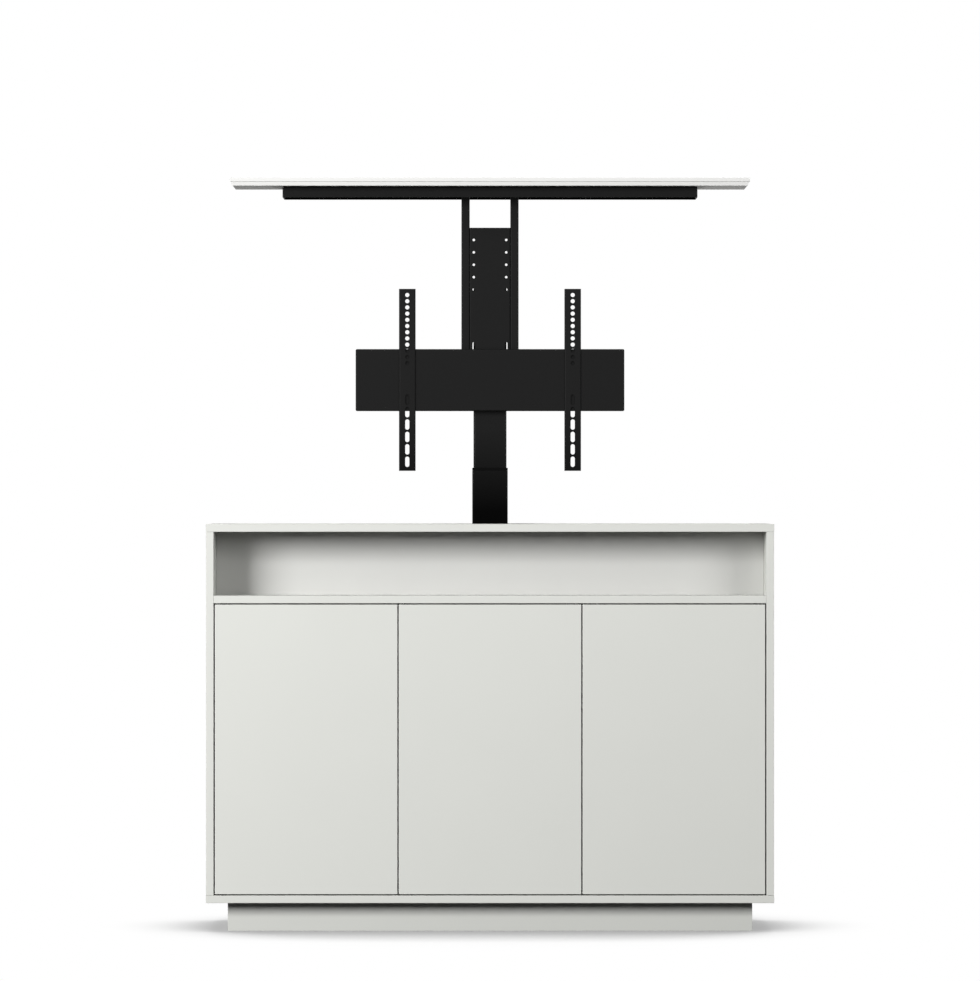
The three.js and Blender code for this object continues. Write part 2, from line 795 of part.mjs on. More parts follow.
// The socket that a mains lead plugs into.
function powerInlet() {
  const x0 = controlX - controlWidth / 2 - inletProud;
  const x1 = controlX - controlWidth / 2 + inletDepth - seam;
  const y = inletWidth / 2;
  const z = inletHeight / 2;
  const middleZ = bottomTopZ + seam + controlHeight / 2;
  return cutBy(
    block(x0, x1, controlY - y, controlY + y, middleZ - z, middleZ + z),
    block(
      x0 - cutOverrun,
      x0 + inletRecess,
      controlY - y + inletWall,
      controlY + y - inletWall,
      middleZ - z + inletWall,
      middleZ + z - inletWall,
    ),
  );
}

// The carcass and all that is fixed to it
const carcass = new THREE.Group();
carcass.add(
  piece("top_panel", topPanel(), "whiteLacquer"),
  piece("side_panel_left", sidePanel(-1), "whiteLacquer"),
  piece("side_panel_right", sidePanel(1), "whiteLacquer"),
  piece("bottom_panel", bottomPanel(), "whiteLacquer"),
  piece("niche_shelf", nicheShelf(), "whiteLacquer"),
  piece("well_board", wellBoard(), "whiteLacquer"),
  piece("partition_left", partition(-1), "whiteLacquer"),
  piece("partition_right", partition(1), "whiteLacquer"),
  piece("back_panel", backPanel(), "whiteLacquer"),
  piece("cable_grommet", cableGrommet(), "greyPlastic"),
  piece("plinth_front", plinthLong(plinthFrontY), "whiteLacquer"),
  piece("plinth_rear", plinthLong(plinthBackY - boardThickness), "whiteLacquer"),
  piece("plinth_left", plinthShort(-1), "whiteLacquer"),
  piece("plinth_right", plinthShort(1), "whiteLacquer"),
  piece("lift_base_plate", basePlate(), "blackSteel"),
  piece("gearbox_housing", gearboxHousing(), "blackPlastic"),
  piece("drive_motor", driveMotor(), "zincSteel"),
  piece("tube_clamp", tubeClamp(), "blackSteel"),
  piece("control_box", controlBox(), "blackPlastic"),
  piece("power_inlet", powerInlet(), "blackPlastic"),
);
for (const door of doors) {
  carcass.add(
    piece(`shelf_${door.name}`, interiorShelf(door), "whiteLacquer"),
    piece(`door_pin_upper_${door.name}`, doorPin(door, false), "blackSteel"),
    piece(`door_pin_lower_${door.name}`, doorPin(door, true), "blackSteel"),
    piece(`latch_housing_${door.name}`, latchHousing(door), "greyPlastic"),
    piece(`latch_plunger_${door.name}`, latchPlunger(door), "greyPlastic"),
  );
  const hung = new THREE.Group();
  hung.position.set(door.pinX, pinY, 0);
  hung.add(piece(`door_${door.name}`, doorBoard(door), "whiteLacquer"));
  carcass.add(hung);
}

// The column, one stage inside the next, each raised by its travel
const fixedTubeTopZ = fixedTopZ - collarHeight - seam;
const middleTubeTopZ = middleTopZ - collarHeight - seam;
const fixedTube = columnTube(fixedTubeWidth, fixedTubeDepth, tubeWall, fixedTubeBottomZ, fixedTubeTopZ);
const middleTube = columnTube(middleTubeWidth, middleTubeDepth, tubeWall, middleTubeBottomZ, middleTubeTopZ);
const innerTube = columnTube(innerTubeWidth, innerTubeDepth, tubeWall, innerTubeBottomZ, innerTopZ);
const lowerNutBore = lowerSpindleRadius + spindleClearance;
const upperNutBore = upperSpindleRadius + spindleClearance;
carcass.add(
  piece("fixed_tube", fixedTube, "blackSteel"),
  piece("fixed_tube_collar", tubeCollar(fixedTubeWidth, fixedTubeDepth, fixedTopZ), "blackPlastic"),
  piece("lower_spindle", lowerSpindle(), "zincSteel"),
);

const middleStage = new THREE.Group();
middleStage.position.z = stageTravel;
middleStage.add(
  piece("middle_tube", middleTube, "blackSteel"),
  piece("middle_tube_collar", tubeCollar(middleTubeWidth, middleTubeDepth, middleTopZ), "blackPlastic"),
  piece("middle_nut", footNut(middleTubeWidth, middleTubeDepth, middleFootZ, lowerNutBore), "greyPlastic"),
  piece("upper_spindle", upperSpindle(), "zincSteel"),
);

const carriage = new THREE.Group();
carriage.position.z = stageTravel;
carriage.add(
  piece("inner_tube", innerTube, "blackSteel"),
  piece("inner_nut", footNut(innerTubeWidth, innerTubeDepth, innerFootZ, upperNutBore), "greyPlastic"),
  piece("column_head", columnHead(), "blackSteel"),
  piece("centre_plate", centrePlate(), "blackSteel"),
  piece("lid_rail_left", lidRail(-1), "blackSteel"),
  piece("lid_rail_right", lidRail(1), "blackSteel"),
  piece("crossbar", crossbar(), "blackSteel"),
  piece("lid_beam", lidBeam(), "blackSteel"),
  piece("lid_underboard", lidUnderboard(), "whiteLacquer"),
  piece("lid_board", lidBoard(), "whiteLacquer"),
);
for (const [side, name] of [
  [-1, "left"],
  [1, "right"],
]) {
  const strip = piece(`screen_strip_${name}`, screenStrip(), "blackSteel");
  strip.position.x = (side * stripSpacing) / 2;
  carriage.add(strip);
}
middleStage.add(carriage);

const liftCabinet = new THREE.Group();
liftCabinet.add(carcass, middleStage);

export default liftCabinet;
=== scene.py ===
import math
from contextlib import contextmanager

import bpy
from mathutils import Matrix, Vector


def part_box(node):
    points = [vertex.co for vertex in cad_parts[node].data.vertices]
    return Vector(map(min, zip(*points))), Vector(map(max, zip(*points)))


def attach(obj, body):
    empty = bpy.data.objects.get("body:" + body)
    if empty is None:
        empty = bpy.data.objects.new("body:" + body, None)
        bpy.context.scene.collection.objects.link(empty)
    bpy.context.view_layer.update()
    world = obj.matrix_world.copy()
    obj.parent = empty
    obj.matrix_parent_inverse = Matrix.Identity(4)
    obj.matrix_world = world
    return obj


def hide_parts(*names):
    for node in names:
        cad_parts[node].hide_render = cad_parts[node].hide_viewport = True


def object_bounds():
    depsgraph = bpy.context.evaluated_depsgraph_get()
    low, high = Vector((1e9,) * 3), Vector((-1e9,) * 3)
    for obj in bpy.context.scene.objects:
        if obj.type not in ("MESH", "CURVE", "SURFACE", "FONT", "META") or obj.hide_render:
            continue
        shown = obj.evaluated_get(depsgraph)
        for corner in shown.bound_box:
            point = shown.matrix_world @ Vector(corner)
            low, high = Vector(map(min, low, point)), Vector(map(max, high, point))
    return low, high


bl_info = {
    "name": "TV lift cabinet",
    "version": (1, 0, 0),
    "blender": (4, 5, 0),
    "location": "3D View > Sidebar > Lift cabinet",
    "description": "Dresses the frame of a cabinet that lifts a screen out of its top",
    "category": "Object",
}

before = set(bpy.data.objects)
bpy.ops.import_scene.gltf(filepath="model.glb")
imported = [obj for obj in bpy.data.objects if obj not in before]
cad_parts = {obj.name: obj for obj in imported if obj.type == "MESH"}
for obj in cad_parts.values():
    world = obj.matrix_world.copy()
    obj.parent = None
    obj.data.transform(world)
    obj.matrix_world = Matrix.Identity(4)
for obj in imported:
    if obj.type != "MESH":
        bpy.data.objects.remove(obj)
cad_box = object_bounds()

MM = 0.001
SIDES = ("left", "right")
DOORS = ("left", "middle", "right")


def linear(code):
    """A colour written as sRGB hex, as the linear values that shaders take."""
    channels = [int(code[i : i + 2], 16) / 255 for i in (1, 3, 5)]
    return [c / 12.92 if c <= 0.04045 else ((c + 0.055) / 1.055) ** 2.4 for c in channels] + [1.0]


# Sizes and colours that a user would change


def length(name, description, millimetres):
    return bpy.props.FloatProperty(
        name=name, description=description, default=millimetres * MM, min=0, precision=5, unit="LENGTH"
    )


def colour(name, description, code):
    return bpy.props.FloatVectorProperty(
        name=name, description=description, default=linear(code), size=4, min=0, max=1, subtype="COLOR"
    )


class LiftCabinetSizes(bpy.types.PropertyGroup):
    board_arris: length("Board arris", "Radius of the eased edges of the lacquered boards", 0.9)
    pin_clearance: length("Pin clearance", "Gap round a door pin in its bore", 0.3)
    pin_depth: length("Pin depth", "How far a door pin reaches into its board", 12)
    lid_gap: length("Lid gap", "Gap between the lid and the edge of its opening", 2)
    lid_step: length("Lid step", "How far the lower lid board stands in from the upper one", 1)
    lid_bevel: length("Lid bevel", "How far the lower lid board's ends lean in", 5)
    lid_seam: length("Lid seam", "Gap between the two lid boards", 0.3)
    bracket_sheet: length("Bracket sheet", "Thickness of the crossbar, the strips and the centre plate", 3)
    beam_sheet: length("Beam sheet", "Thickness of the beam and the rails", 2.5)
    bend_radius: length("Bend radius", "Outer radius where sheet is folded", 3.5)
    tube_wall: length("Tube wall", "Wall of the column's tubes", 2)
    tube_corner: length("Tube corner", "Outer radius of the column tubes' corners", 5)
    strip_hole: length("Strip hole", "Diameter of the strips' holes and width of their slots", 10)
    strip_slot: length("Strip slot", "Length of the strips' slots", 25)
    plate_hole: length("Plate hole", "Diameter of the centre plate's holes and width of its slots", 6)
    plate_slot: length("Plate slot", "Length of the centre plate's slots", 60)
    plate_spread: length("Plate spread", "How far the centre plate's edges close on the rails", 0.25)


class LiftCabinetColours(bpy.types.PropertyGroup):
    lacquer: colour("Lacquer", "White satin lacquer on the outer boards", "#d6d7d2")
    # Painted light: the lid's lacquer is lighter and more neutral than the cabinet's, for the stronger light
    # that falls on it higher up
    lid_lacquer: colour("Lid lacquer", "White satin lacquer on the lid, a touch more neutral", "#dadad8")
    # Partly painted shade: the melamine's tone is set a little darker than the lacquer, for the shade inside
    # the niche
    melamine: colour("Melamine", "White foil on the boards behind the front", "#cfcfcc")
    primer: colour("Primer", "Matt white underside of the lid", "#d5d5d3")
    # Painted shade: a dark grey under the top and the bottom, so that they send little light into the niche
    # and onto the plinth
    backing_film: colour("Backing film", "Grey film under the top and the bottom", "#303030")
    powder_coat: colour("Powder coat", "Black coat on the lift's sheet metal", "#090909")
    column_coat: colour("Column coat", "Black coat on the column's tubes", "#060606")
    zinc: colour("Zinc", "Bright zinc on pins, spindles and the motor's can", "#b9bcc0")
    black_plastic: colour("Black plastic", "Moulded housings of the drive and its box", "#1b1b1c")
    # Painted shade: a near-black tape put inside the beam, where it lies in shade
    foam: colour("Foam", "Foam tape inside the beam", "#030303")
    grey_plastic: colour("Grey plastic", "Moulded latches, nuts and the cable outlet", "#8d8f92")
    floor: colour("Floor", "Painted floor, as it reflects light", "#383838")


# Materials


def add(tree, kind, settings=None, links=None):
    """A node with its settings, by attribute, input name or input number, and what its inputs take."""
    node = tree.nodes.new(kind)
    for key, value in (settings or {}).items():
        if isinstance(key, int) or key in node.inputs:
            node.inputs[key].default_value = value
        else:
            setattr(node, key, value)
    for key, source in (links or {}).items():
        tree.links.new(source, node.inputs[key])
    return node


def new_material(name, *patterns):
    """A material without a surface yet, its tree, and its patterns, which follow the place on the object."""
    material = bpy.data.materials.get(name) or bpy.data.materials.new(name)
    material.use_nodes = True
    tree = material.node_tree
    tree.nodes.clear()
    where = {"Vector": add(tree, "ShaderNodeTexCoord").outputs["Object"]}
    return material, tree, [add(tree, kind, settings, where) for kind, settings in patterns]


NOISE = "ShaderNodeTexNoise"


def per(millimetres):
    """The scale at which a pattern repeats every so many millimetres."""
    return 1 / (millimetres * MM)


WAVE_AT_SCALE_ONE = math.pi / 10  # metres from crest to crest in a wave texture whose scale is 1


def scaled(value, factor):
    """A linear colour made lighter or darker by a factor."""
    return [min(1, channel * factor) for channel in value[:3]] + [1]


def surfaced(material, base, tone, gloss, relief, shader, painted_shade=None):
    """Gives a material its surface, with its tone, gloss and relief each led by a pattern.

    tone is a pattern and the factors of the darkest and the lightest tone, gloss one and the least and the
    most roughness, relief one with its strength and its depth in millimetres. The last pattern, if given, is
    painted shade: it darkens the tone and dims the shine. shader holds what is the same all over.
    """
    tree = material.node_tree
    tones = {"data_type": "RGBA", 6: scaled(base, tone[1]), 7: scaled(base, tone[2])}
    shade = add(tree, "ShaderNodeMix", tones, {0: tone[0]})
    rough = add(tree, "ShaderNodeMapRange", {"To Min": gloss[1], "To Max": gloss[2]}, {"Value": gloss[0]})
    depth = {"Strength": relief[1], "Distance": relief[2] * MM}
    taken = {
        "Base Color": shade.outputs[2],
        "Roughness": rough.outputs["Result"],
        "Normal": add(tree, "ShaderNodeBump", depth, {"Height": relief[0]}).outputs["Normal"],
    }
    # Painted shade: the tone darkened and the sheen dimmed by the pattern
    if painted_shade is not None:
        both = {0: shade.outputs[2], "Scale": painted_shade}
        dark = add(tree, "ShaderNodeVectorMath", {"operation": "SCALE"}, both)
        dim = {"operation": "MULTIPLY", 1: shader["Specular IOR Level"]}
        taken["Base Color"] = dark.outputs["Vector"]
        taken["Specular IOR Level"] = add(tree, "ShaderNodeMath", dim, {0: painted_shade}).outputs[0]
    surface = add(tree, "ShaderNodeBsdfPrincipled", shader, taken)
    add(tree, "ShaderNodeOutputMaterial", {}, {"Surface": surface.outputs["BSDF"]})
    return material


def sprayed_coat(name, base, smoothest, roughest, specular, peel_depth):
    # Lacquer sprayed on fibreboard and left satin: a calm surface with a broad, soft sheen, a trace of
    # orange peel about 2 mm across, its depth in millimetres, and very slight clouds in its tone.
    material, _, (clouds, haze, peel) = new_material(
        name,
        (NOISE, {"Scale": per(170), "Detail": 3}),
        (NOISE, {"Scale": per(36), "Detail": 4}),
        (NOISE, {"Scale": per(2.1), "Detail": 1}),
    )
    return surfaced(
        material,
        base,
        (clouds.outputs["Fac"], 0.985, 1.01),
        (haze.outputs["Fac"], smoothest, roughest),
        (peel.outputs["Fac"], 0.25, peel_depth),
        {"IOR": 1.5, "Specular IOR Level": specular},
    )


def powder_coat(name, base, smoothest, roughest, specular, grain, painted_shade_heights=None):
    # Polyester powder baked on steel: a matt, even black with a fine pebbled grain, its size in
    # millimetres, so that light catches it softly and folds show as slightly paler lines. Given heights, it
    # takes painted shade too: darker and duller from the upper height down to the lower one, and most below.
    material, tree, (pebbles, flow, cloud) = new_material(
        name,
        ("ShaderNodeTexVoronoi", {"Scale": per(grain), "Randomness": 1}),
        (NOISE, {"Scale": per(2.5 * grain), "Detail": 3}),
        (NOISE, {"Scale": per(29), "Detail": 4}),
    )
    both = {0: pebbles.outputs["Distance"], 1: flow.outputs["Fac"]}
    height = add(tree, "ShaderNodeMath", {"operation": "ADD"}, both)
    painted_shade = None
    # Painted shade, led by height: a factor that falls from 1 to the share of light it leaves
    if painted_shade_heights:
        place = add(tree, "ShaderNodeTexCoord").outputs["Object"]
        height_z = add(tree, "ShaderNodeSeparateXYZ", {}, {0: place}).outputs["Z"]
        limits = dict(zip(("From Min", "From Max", "To Min"), painted_shade_heights))
        painted_shade = add(tree, "ShaderNodeMapRange", limits, {"Value": height_z}).outputs["Result"]
    return surfaced(
        material,
        base,
        (cloud.outputs["Fac"], 0.9, 1.1),
        (cloud.outputs["Fac"], smoothest, roughest),
        (height.outputs[0], 0.35, 0.08),
        {"IOR": 1.5, "Specular IOR Level": specular},
        painted_shade,
    )


def bright_zinc_plate(name, base, pitch, wobble, strength, depth):
    # Steel turned and zinc plated: a cool silver grey with a mottled passivation and the rings of the
    # tool, or the turns of a thread, with their pitch and depth in millimetres.
    bands = {"wave_type": "BANDS", "bands_direction": "Z", "Distortion": wobble}
    bands["Scale"] = WAVE_AT_SCALE_ONE * per(pitch)
    patterns = (NOISE, {"Scale": per(17), "Detail": 5}), ("ShaderNodeTexWave", bands)
    material, _, (mottle, rings) = new_material(name, *patterns)
    return surfaced(
        material,
        base,
        (mottle.outputs["Fac"], 0.82, 1.08),
        (mottle.outputs["Fac"], 0.24, 0.42),
        (rings.outputs["Fac"], strength, depth),
        {"Metallic": 1},
    )


def moulded_plastic(name, base, smoothest, roughest, specular):
    # Plastic from a spark-eroded mould: semi-matt, with an even fine grit of about 0.45 mm and faint flow
    # marks that change its sheen.
    material, _, (grit, flow) = new_material(
        name,
        (NOISE, {"Scale": per(0.45), "Detail": 2}),
        (NOISE, {"Scale": per(45), "Detail": 3, "Distortion": 0.8}),
    )
    return surfaced(
        material,
        base,
        (flow.outputs["Fac"], 0.93, 1.07),
        (flow.outputs["Fac"], smoothest, roughest),
        (grit.outputs["Fac"], 0.3, 0.03),
        {"IOR": 1.53, "Specular IOR Level": specular},
    )


# Painted shade on strips and tubes: where it is darkest and where it ends, in metres above the floor, and
# the share of light it leaves
STRIP_PAINTED_SHADE = (1, 1.25, 0.3)
COLUMN_PAINTED_SHADE = (1, 1.23, 0.17)

# Each finish: its maker, the material's name, its colour's name, and the maker's own settings
FINISHES = {
    # Outer boards and doors: soft, broad highlights and no mirror image
    "white_lacquer": (sprayed_coat, "sprayed_satin_lacquer", "lacquer", 0.5, 0.58, 0.15, 0.04),
    # The lid: the same spray, made lighter and more neutral as painted light, for the stronger light that
    # falls on it higher up
    "lid_lacquer": (sprayed_coat, "sprayed_lid_lacquer", "lid_lacquer", 0.5, 0.58, 0.15, 0.04),
    # Inner boards: flatter, and with the deeper print of the press plate; their darker tone is partly
    # painted shade
    "melamine": (sprayed_coat, "pressed_melamine_foil", "melamine", 0.55, 0.66, 0.15, 0.06),
    # Under the lid: chalky, without a highlight
    "primer": (sprayed_coat, "sprayed_matt_primer", "primer", 0.85, 0.95, 0, 0.03),
    # Under the top and the bottom: painted shade, a dark grey so that little light comes back from it
    "backing_film": (sprayed_coat, "glued_backing_film", "backing_film", 0.6, 0.7, 0.15, 0.03),
    # Sheet metal: a dry black with a grain that just shows close to
    "black_powder_coat": (powder_coat, "textured_powder_coat", "powder_coat", 0.55, 0.65, 0.115, 0.6),
    # The strips: the same coat, with painted shade that darkens them towards their feet
    "strip_coat": (powder_coat, "greased_strip_coat", "powder_coat", 0.55, 0.65, 0.115, 0.6, STRIP_PAINTED_SHADE),
    # Tubes and door pins: coarser, smoother between the grains, and with painted shade that darkens them at
    # the foot, the door pins all through
    "column_coat": (powder_coat, "greased_column_coat", "column_coat", 0.45, 0.55, 0.13, 1.2, COLUMN_PAINTED_SHADE),
    # Fasteners and the motor's can: cool glints broken up by fine rings
    "zinc_steel": (bright_zinc_plate, "bright_zinc_plate", "zinc", 0.35, 0.6, 0.2, 0.02),
    # Spindles: the same zinc on a rolled thread, whose flanks catch the light in bright bands
    "zinc_thread": (bright_zinc_plate, "rolled_zinc_thread", "zinc", 4, 0, 1, 1),
    # Housings of the drive and its box: glass-filled nylon, greyer than the powder coat
    "black_plastic": (moulded_plastic, "moulded_black_nylon", "black_plastic", 0.45, 0.58, 0.35),
    # The tape in the beam: painted shade, a dead matt black that swallows nearly all light
    "beam_shade_strip": (moulded_plastic, "closed_cell_foam", "foam", 0.95, 1, 0),
    # The tubes' collars: dull and as dark as the tubes
    "collar_plastic": (moulded_plastic, "moulded_black_acetal", "column_coat", 0.6, 0.7, 0.03),
    # Latches, nuts and the cable outlet: undyed grey nylon with a soft shine
    "grey_plastic": (moulded_plastic, "moulded_grey_nylon", "grey_plastic", 0.4, 0.52, 0.5),
}


def finish_for(finish):
    """The material of a finish, made the first time that a piece asks for it."""
    maker, name, shade, *settings = FINISHES[finish]
    base = getattr(bpy.context.scene.lift_cabinet_colours, shade)
    return bpy.data.materials.get(name) or maker(name, base, *settings)


# Modelling steps

BEYOND = 5 * MM  # how far a cutter runs on past the surface that it opens


def mm(*values):
    """Millimetres as metres."""
    return [value * MM for value in values]


def alone(obj):
    """Leaves only this object selected, and makes it the active one."""
    bpy.ops.object.select_all(action="DESELECT")
    obj.select_set(True)
    bpy.context.view_layer.objects.active = obj


def placed(name):
    """The primitive just added, named and with its place moved into its mesh."""
    obj = bpy.context.object
    obj.name = obj.data.name = name
    bpy.ops.object.transform_apply(location=True, rotation=True, scale=True)
    return obj


def cuboid(name, low, high):
    low, high = Vector(low), Vector(high)
    bpy.ops.mesh.primitive_cube_add(size=1, location=(low + high) / 2, scale=high - low)
    return placed(name)


def cylinder(name, radius, centre, along, start, end, sides=48):
    """A cylinder round the line through the centre along an axis, from one place on that axis to another."""
    low, high = Vector(centre), Vector(centre)
    low["XYZ".index(along)], high["XYZ".index(along)] = start, end
    axis = high - low
    bpy.ops.mesh.primitive_cylinder_add(
        vertices=sides,
        radius=radius,
        depth=axis.length,
        location=(low + high) / 2,
        rotation=axis.to_track_quat("Z", "Y").to_euler(),
    )
    return placed(name)


@contextmanager
def editing(obj, kind, test):
    """Edit mode, with only the vertices, edges or faces selected that pass the test."""
    alone(obj)
    bpy.ops.object.mode_set(mode="EDIT")
    bpy.ops.mesh.select_mode(type=kind)
    bpy.ops.mesh.select_all(action="DESELECT")
    bpy.ops.object.mode_set(mode="OBJECT")
    mesh = obj.data
    for element in {"VERT": mesh.vertices, "EDGE": mesh.edges, "FACE": mesh.polygons}[kind]:
        element.select = bool(test(element))
    bpy.ops.object.mode_set(mode="EDIT")
    yield
    bpy.ops.object.mode_set(mode="OBJECT")


def ends_of(obj, edge):
    return [obj.data.vertices[i].co for i in edge.vertices]


def runs_along(obj, axis):
    """A test for edges that run along one axis."""

    def test(edge):
        a, b = ends_of(obj, edge)
        return abs((b - a).normalized()[axis]) > 0.999

    return test


def above(obj, z):
    """A test for edges with both ends above a height."""
    return lambda edge: all(end.z > z for end in ends_of(obj, edge))


def faces_towards(axis, sign):
    """A test for faces whose normal points along an axis."""
    return lambda face: face.normal[axis] * sign > 0.99


def round_edges(obj, test, radius, segments=4):
    with editing(obj, "EDGE", test):
        bpy.ops.mesh.bevel(offset=radius, segments=segments, affect="EDGES")
    return obj


def modified(obj, kind, **settings):
    """The object with a modifier added, set and applied."""
    alone(obj)
    bpy.ops.object.modifier_add(type=kind)
    modifier = obj.modifiers[-1]
    for key, value in settings.items():
        setattr(modifier, key, value)
    bpy.ops.object.modifier_apply(modifier=modifier.name)
    return obj


def eased(obj, radius, segments=2, angle=30):
    return modified(obj, "BEVEL", width=radius, segments=segments, angle_limit=math.radians(angle))


def deburred(obj, radius=0.3 * MM):
    """Sheet metal with the sharp edges of its cuts taken off and its bends left alone."""
    return eased(obj, radius, 1, 60)


def combined(obj, others, operation):
    for other in others:
        modified(obj, "BOOLEAN", operation=operation, object=other, solver="EXACT")
        bpy.data.objects.remove(other, do_unlink=True)
    return obj


def cut(obj, *cutters):
    return combined(obj, cutters, "DIFFERENCE")


def united(obj, *others):
    return combined(obj, others, "UNION")


def joined(name, parts):
    """Several meshes as one object, without changing their shapes."""
    bpy.ops.object.select_all(action="DESELECT")
    for part in parts:
        part.select_set(True)
    bpy.context.view_layer.objects.active = parts[0]
    if len(parts) > 1:
        bpy.ops.object.join()
    obj = bpy.context.object
    obj.name = obj.data.name = name
    return obj


def punched(sheet, face_y, width, places):
    """The sheet with holes of one width through its face, each with its middle's X and Z and its length."""
    sides = 32
    y0, y1 = face_y - MM, face_y + BEYOND
    punches = []
    for x, z, hole_length in places:
        bpy.ops.mesh.primitive_cylinder_add(
            vertices=sides,
            radius=width / 2,
            depth=y1 - y0,
            location=(x, (y0 + y1) / 2, z),
            rotation=(math.pi / 2, math.pi / sides, 0),
        )
        punch = placed("punch")
        half = hole_length / 2 - width / 2
        if half > 0:
            for sign in (1, -1):
                with editing(punch, "VERT", lambda v: (v.co.z - z) * sign > 0):
                    bpy.ops.transform.translate(value=(0, 0, sign * half))
        punches.append(punch)
    return cut(sheet, joined("punches", punches))


def folded(name, low, high, open_sides, sheet, radius, segments=4):
    """Sheet metal folded to a box that is open on some sides, such as "+Y -Z", with rounded bends."""
    obj = cuboid(name, low, high)
    gone = [("XYZ".index(axis), 1 if sign == "+" else -1) for sign, axis in open_sides.split()]
    with editing(obj, "FACE", lambda face: any(faces_towards(*side)(face) for side in gone)):
        bpy.ops.mesh.delete(type="FACE")
        bpy.ops.mesh.select_mode(type="EDGE")
        bpy.ops.mesh.select_all(action="DESELECT")
        bpy.ops.mesh.select_non_manifold(
            use_wire=False, use_multi_face=False, use_non_contiguous=False, use_verts=False
        )
        bpy.ops.mesh.select_all(action="INVERT")
        bpy.ops.mesh.bevel(offset=radius, segments=segments, affect="EDGES")
    return modified(obj, "SOLIDIFY", thickness=sheet, offset=-1, use_even_offset=True)


def grid(xs, ys, zs, direction):
    """A place at every crossing of the given coordinates, each with the direction that it faces."""
    return [((x, y, z), direction) for x in xs for y in ys for z in zs]


def inside(start, end, inset):
    """The two places that lie in by as much from either end of a stretch."""
    return start + inset, end - inset


def copies(name, template, spots):
    """Copies of a piece modelled at the origin along +Z, one at each place and direction, as one object."""
    parts = []
    for place, direction in spots:
        alone(template)
        bpy.ops.object.duplicate(linked=False)
        part = bpy.context.object
        part.location = place
        part.rotation_euler = Vector(direction).to_track_quat("Z", "Y").to_euler()
        bpy.ops.object.transform_apply(location=True, rotation=True, scale=True)
        parts.append(part)
    bpy.data.objects.remove(template, do_unlink=True)
    return joined(name, parts)


def dressed(obj, body, finish, *nodes):
    """The finished piece: shaded, given its material, fixed to its body and standing for its CAD nodes."""
    alone(obj)
    bpy.ops.object.shade_smooth_by_angle(angle=math.radians(35))
    modified(obj, "WEIGHTED_NORMAL", keep_sharp=True)
    obj.data.materials.clear()
    obj.data.materials.append(finish_for(finish))
    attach(obj, body)
    if nodes:
        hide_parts(*nodes)
    return obj


def refinished(node, finish):
    """Gives a CAD node that stays as it is another material."""
    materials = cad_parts[node].data.materials
    materials.clear()
    materials.append(finish_for(finish))


def middle(node):
    low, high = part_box(node)
    return (low + high) / 2


# Fasteners, each modelled at the origin with the underside of its head at height 0

ORIGIN = (0, 0, 0)
UP, DOWN, FRONT, REAR = (0, 0, 1), (0, 0, -1), (0, -1, 0), (0, 1, 0)


def fastened(name, body, template, spots):
    """Copies of a fastener, as one piece of a body."""
    dressed(copies(name, template, spots), body, "zinc_steel")


def cross_head_screw(radius, height):
    head = cylinder("cross_head_screw", radius, ORIGIN, "Z", 0, height, 32)
    round_edges(head, above(head, height * 0.9), height * 0.6, 3)
    arm, width, depth = radius * 0.55, radius * 0.13, height * 0.45
    for x, y in ((arm, width), (width, arm)):
        cut(head, cuboid("cross_arm", (-x, -y, height - depth), (x, y, height * 2)))
    return head


def socket_bolt(radius, height, washer=0.0):
    head = cylinder("socket_bolt", radius, ORIGIN, "Z", washer, washer + height, 32)
    round_edges(head, above(head, washer + height * 0.9), height * 0.18, 2)
    cut(head, cylinder("hexagon", radius * 0.55, ORIGIN, "Z", washer + height * 0.45, height * 2, 6))
    if washer:
        ring = cylinder("washer", radius * 1.45, ORIGIN, "Z", 0, washer, 32)
        head = joined("socket_bolt", [head, eased(ring, washer * 0.25)])
    return head


# The stage, in metres, degrees and watts

CAMERA_AHEAD = 14  # from the cabinet's front
CAMERA_HEIGHT = 1.05
CAMERA_LENS, CAMERA_SENSOR = 216.34, 36  # millimetres
# Each soft box: its middle, width, height, turn from facing down, power, and whether reflections show it
SOFT_BOXES = {
    "key_light_left": ((-6.405, -5.97, 2.875), 5.19, 2.95, (90, 0, 0), 1110, True),
    "fill_light_right": ((5.86, -5.97, 2.875), 4.72, 2.95, (90, 0, 0), 332, True),
    "soft_light_above": ((0, -2.2, 4.2), 4, 1, (0, 0, 0), 58, True),
    "top_light": ((0, 0.8, 4.2), 3, 1, (0, 0, 0), 45, True),
    "side_light_right": ((4.5, 1.6, 1), 2.2, 1.2, (90, 0, 90), 65, True),
    "low_light_behind": ((0, 3.4, 0.75), 3.2, 1.2, (105, 0, 180), 130, False),
}
WHITE_LIGHT = {"Color": (1, 1, 1, 1), "Strength": 1}
AMBIENT = 0.015  # strength of the surroundings' light, where the camera doesn't see them
# The floor's contact shadow is painted: a glow as bright as the openness that ambient occlusion finds, with
# a share of the real cast shadows mixed in
CONTACT_REACH = 0.5  # how far round it a place on the floor looks for what shades it
CONTACT_SHADE = {"From Min": 0.53, "From Max": 0.87, "To Min": 0.4, "To Max": 1}  # openness to brightness
CAST_SHARE = 0.25  # of the shadows that the soft boxes cast
FADE_ACROSS, FADE_DEEP = 0.98, 0.75  # half the width and depth of the oval that the floor runs out at
FADE_START = 0.6  # the share of that oval where it starts to


def seen_directly(tree):
    """1 for what is seen, also in a reflection or through glass, and 0 for light that spreads."""
    path = add(tree, "ShaderNodeLightPath")
    seen = path.outputs["Is Camera Ray"]
    for ray in ("Is Glossy Ray", "Is Transmission Ray"):
        either = {0: seen, 1: path.outputs[ray]}
        seen = add(tree, "ShaderNodeMath", {"operation": "MAXIMUM"}, either).outputs[0]
    return seen


class Step:
    """What the operators share: each makes some of the pieces"""

    def execute(self, context):
        self.make(context.scene.lift_cabinet_sizes)
        return {"FINISHED"}


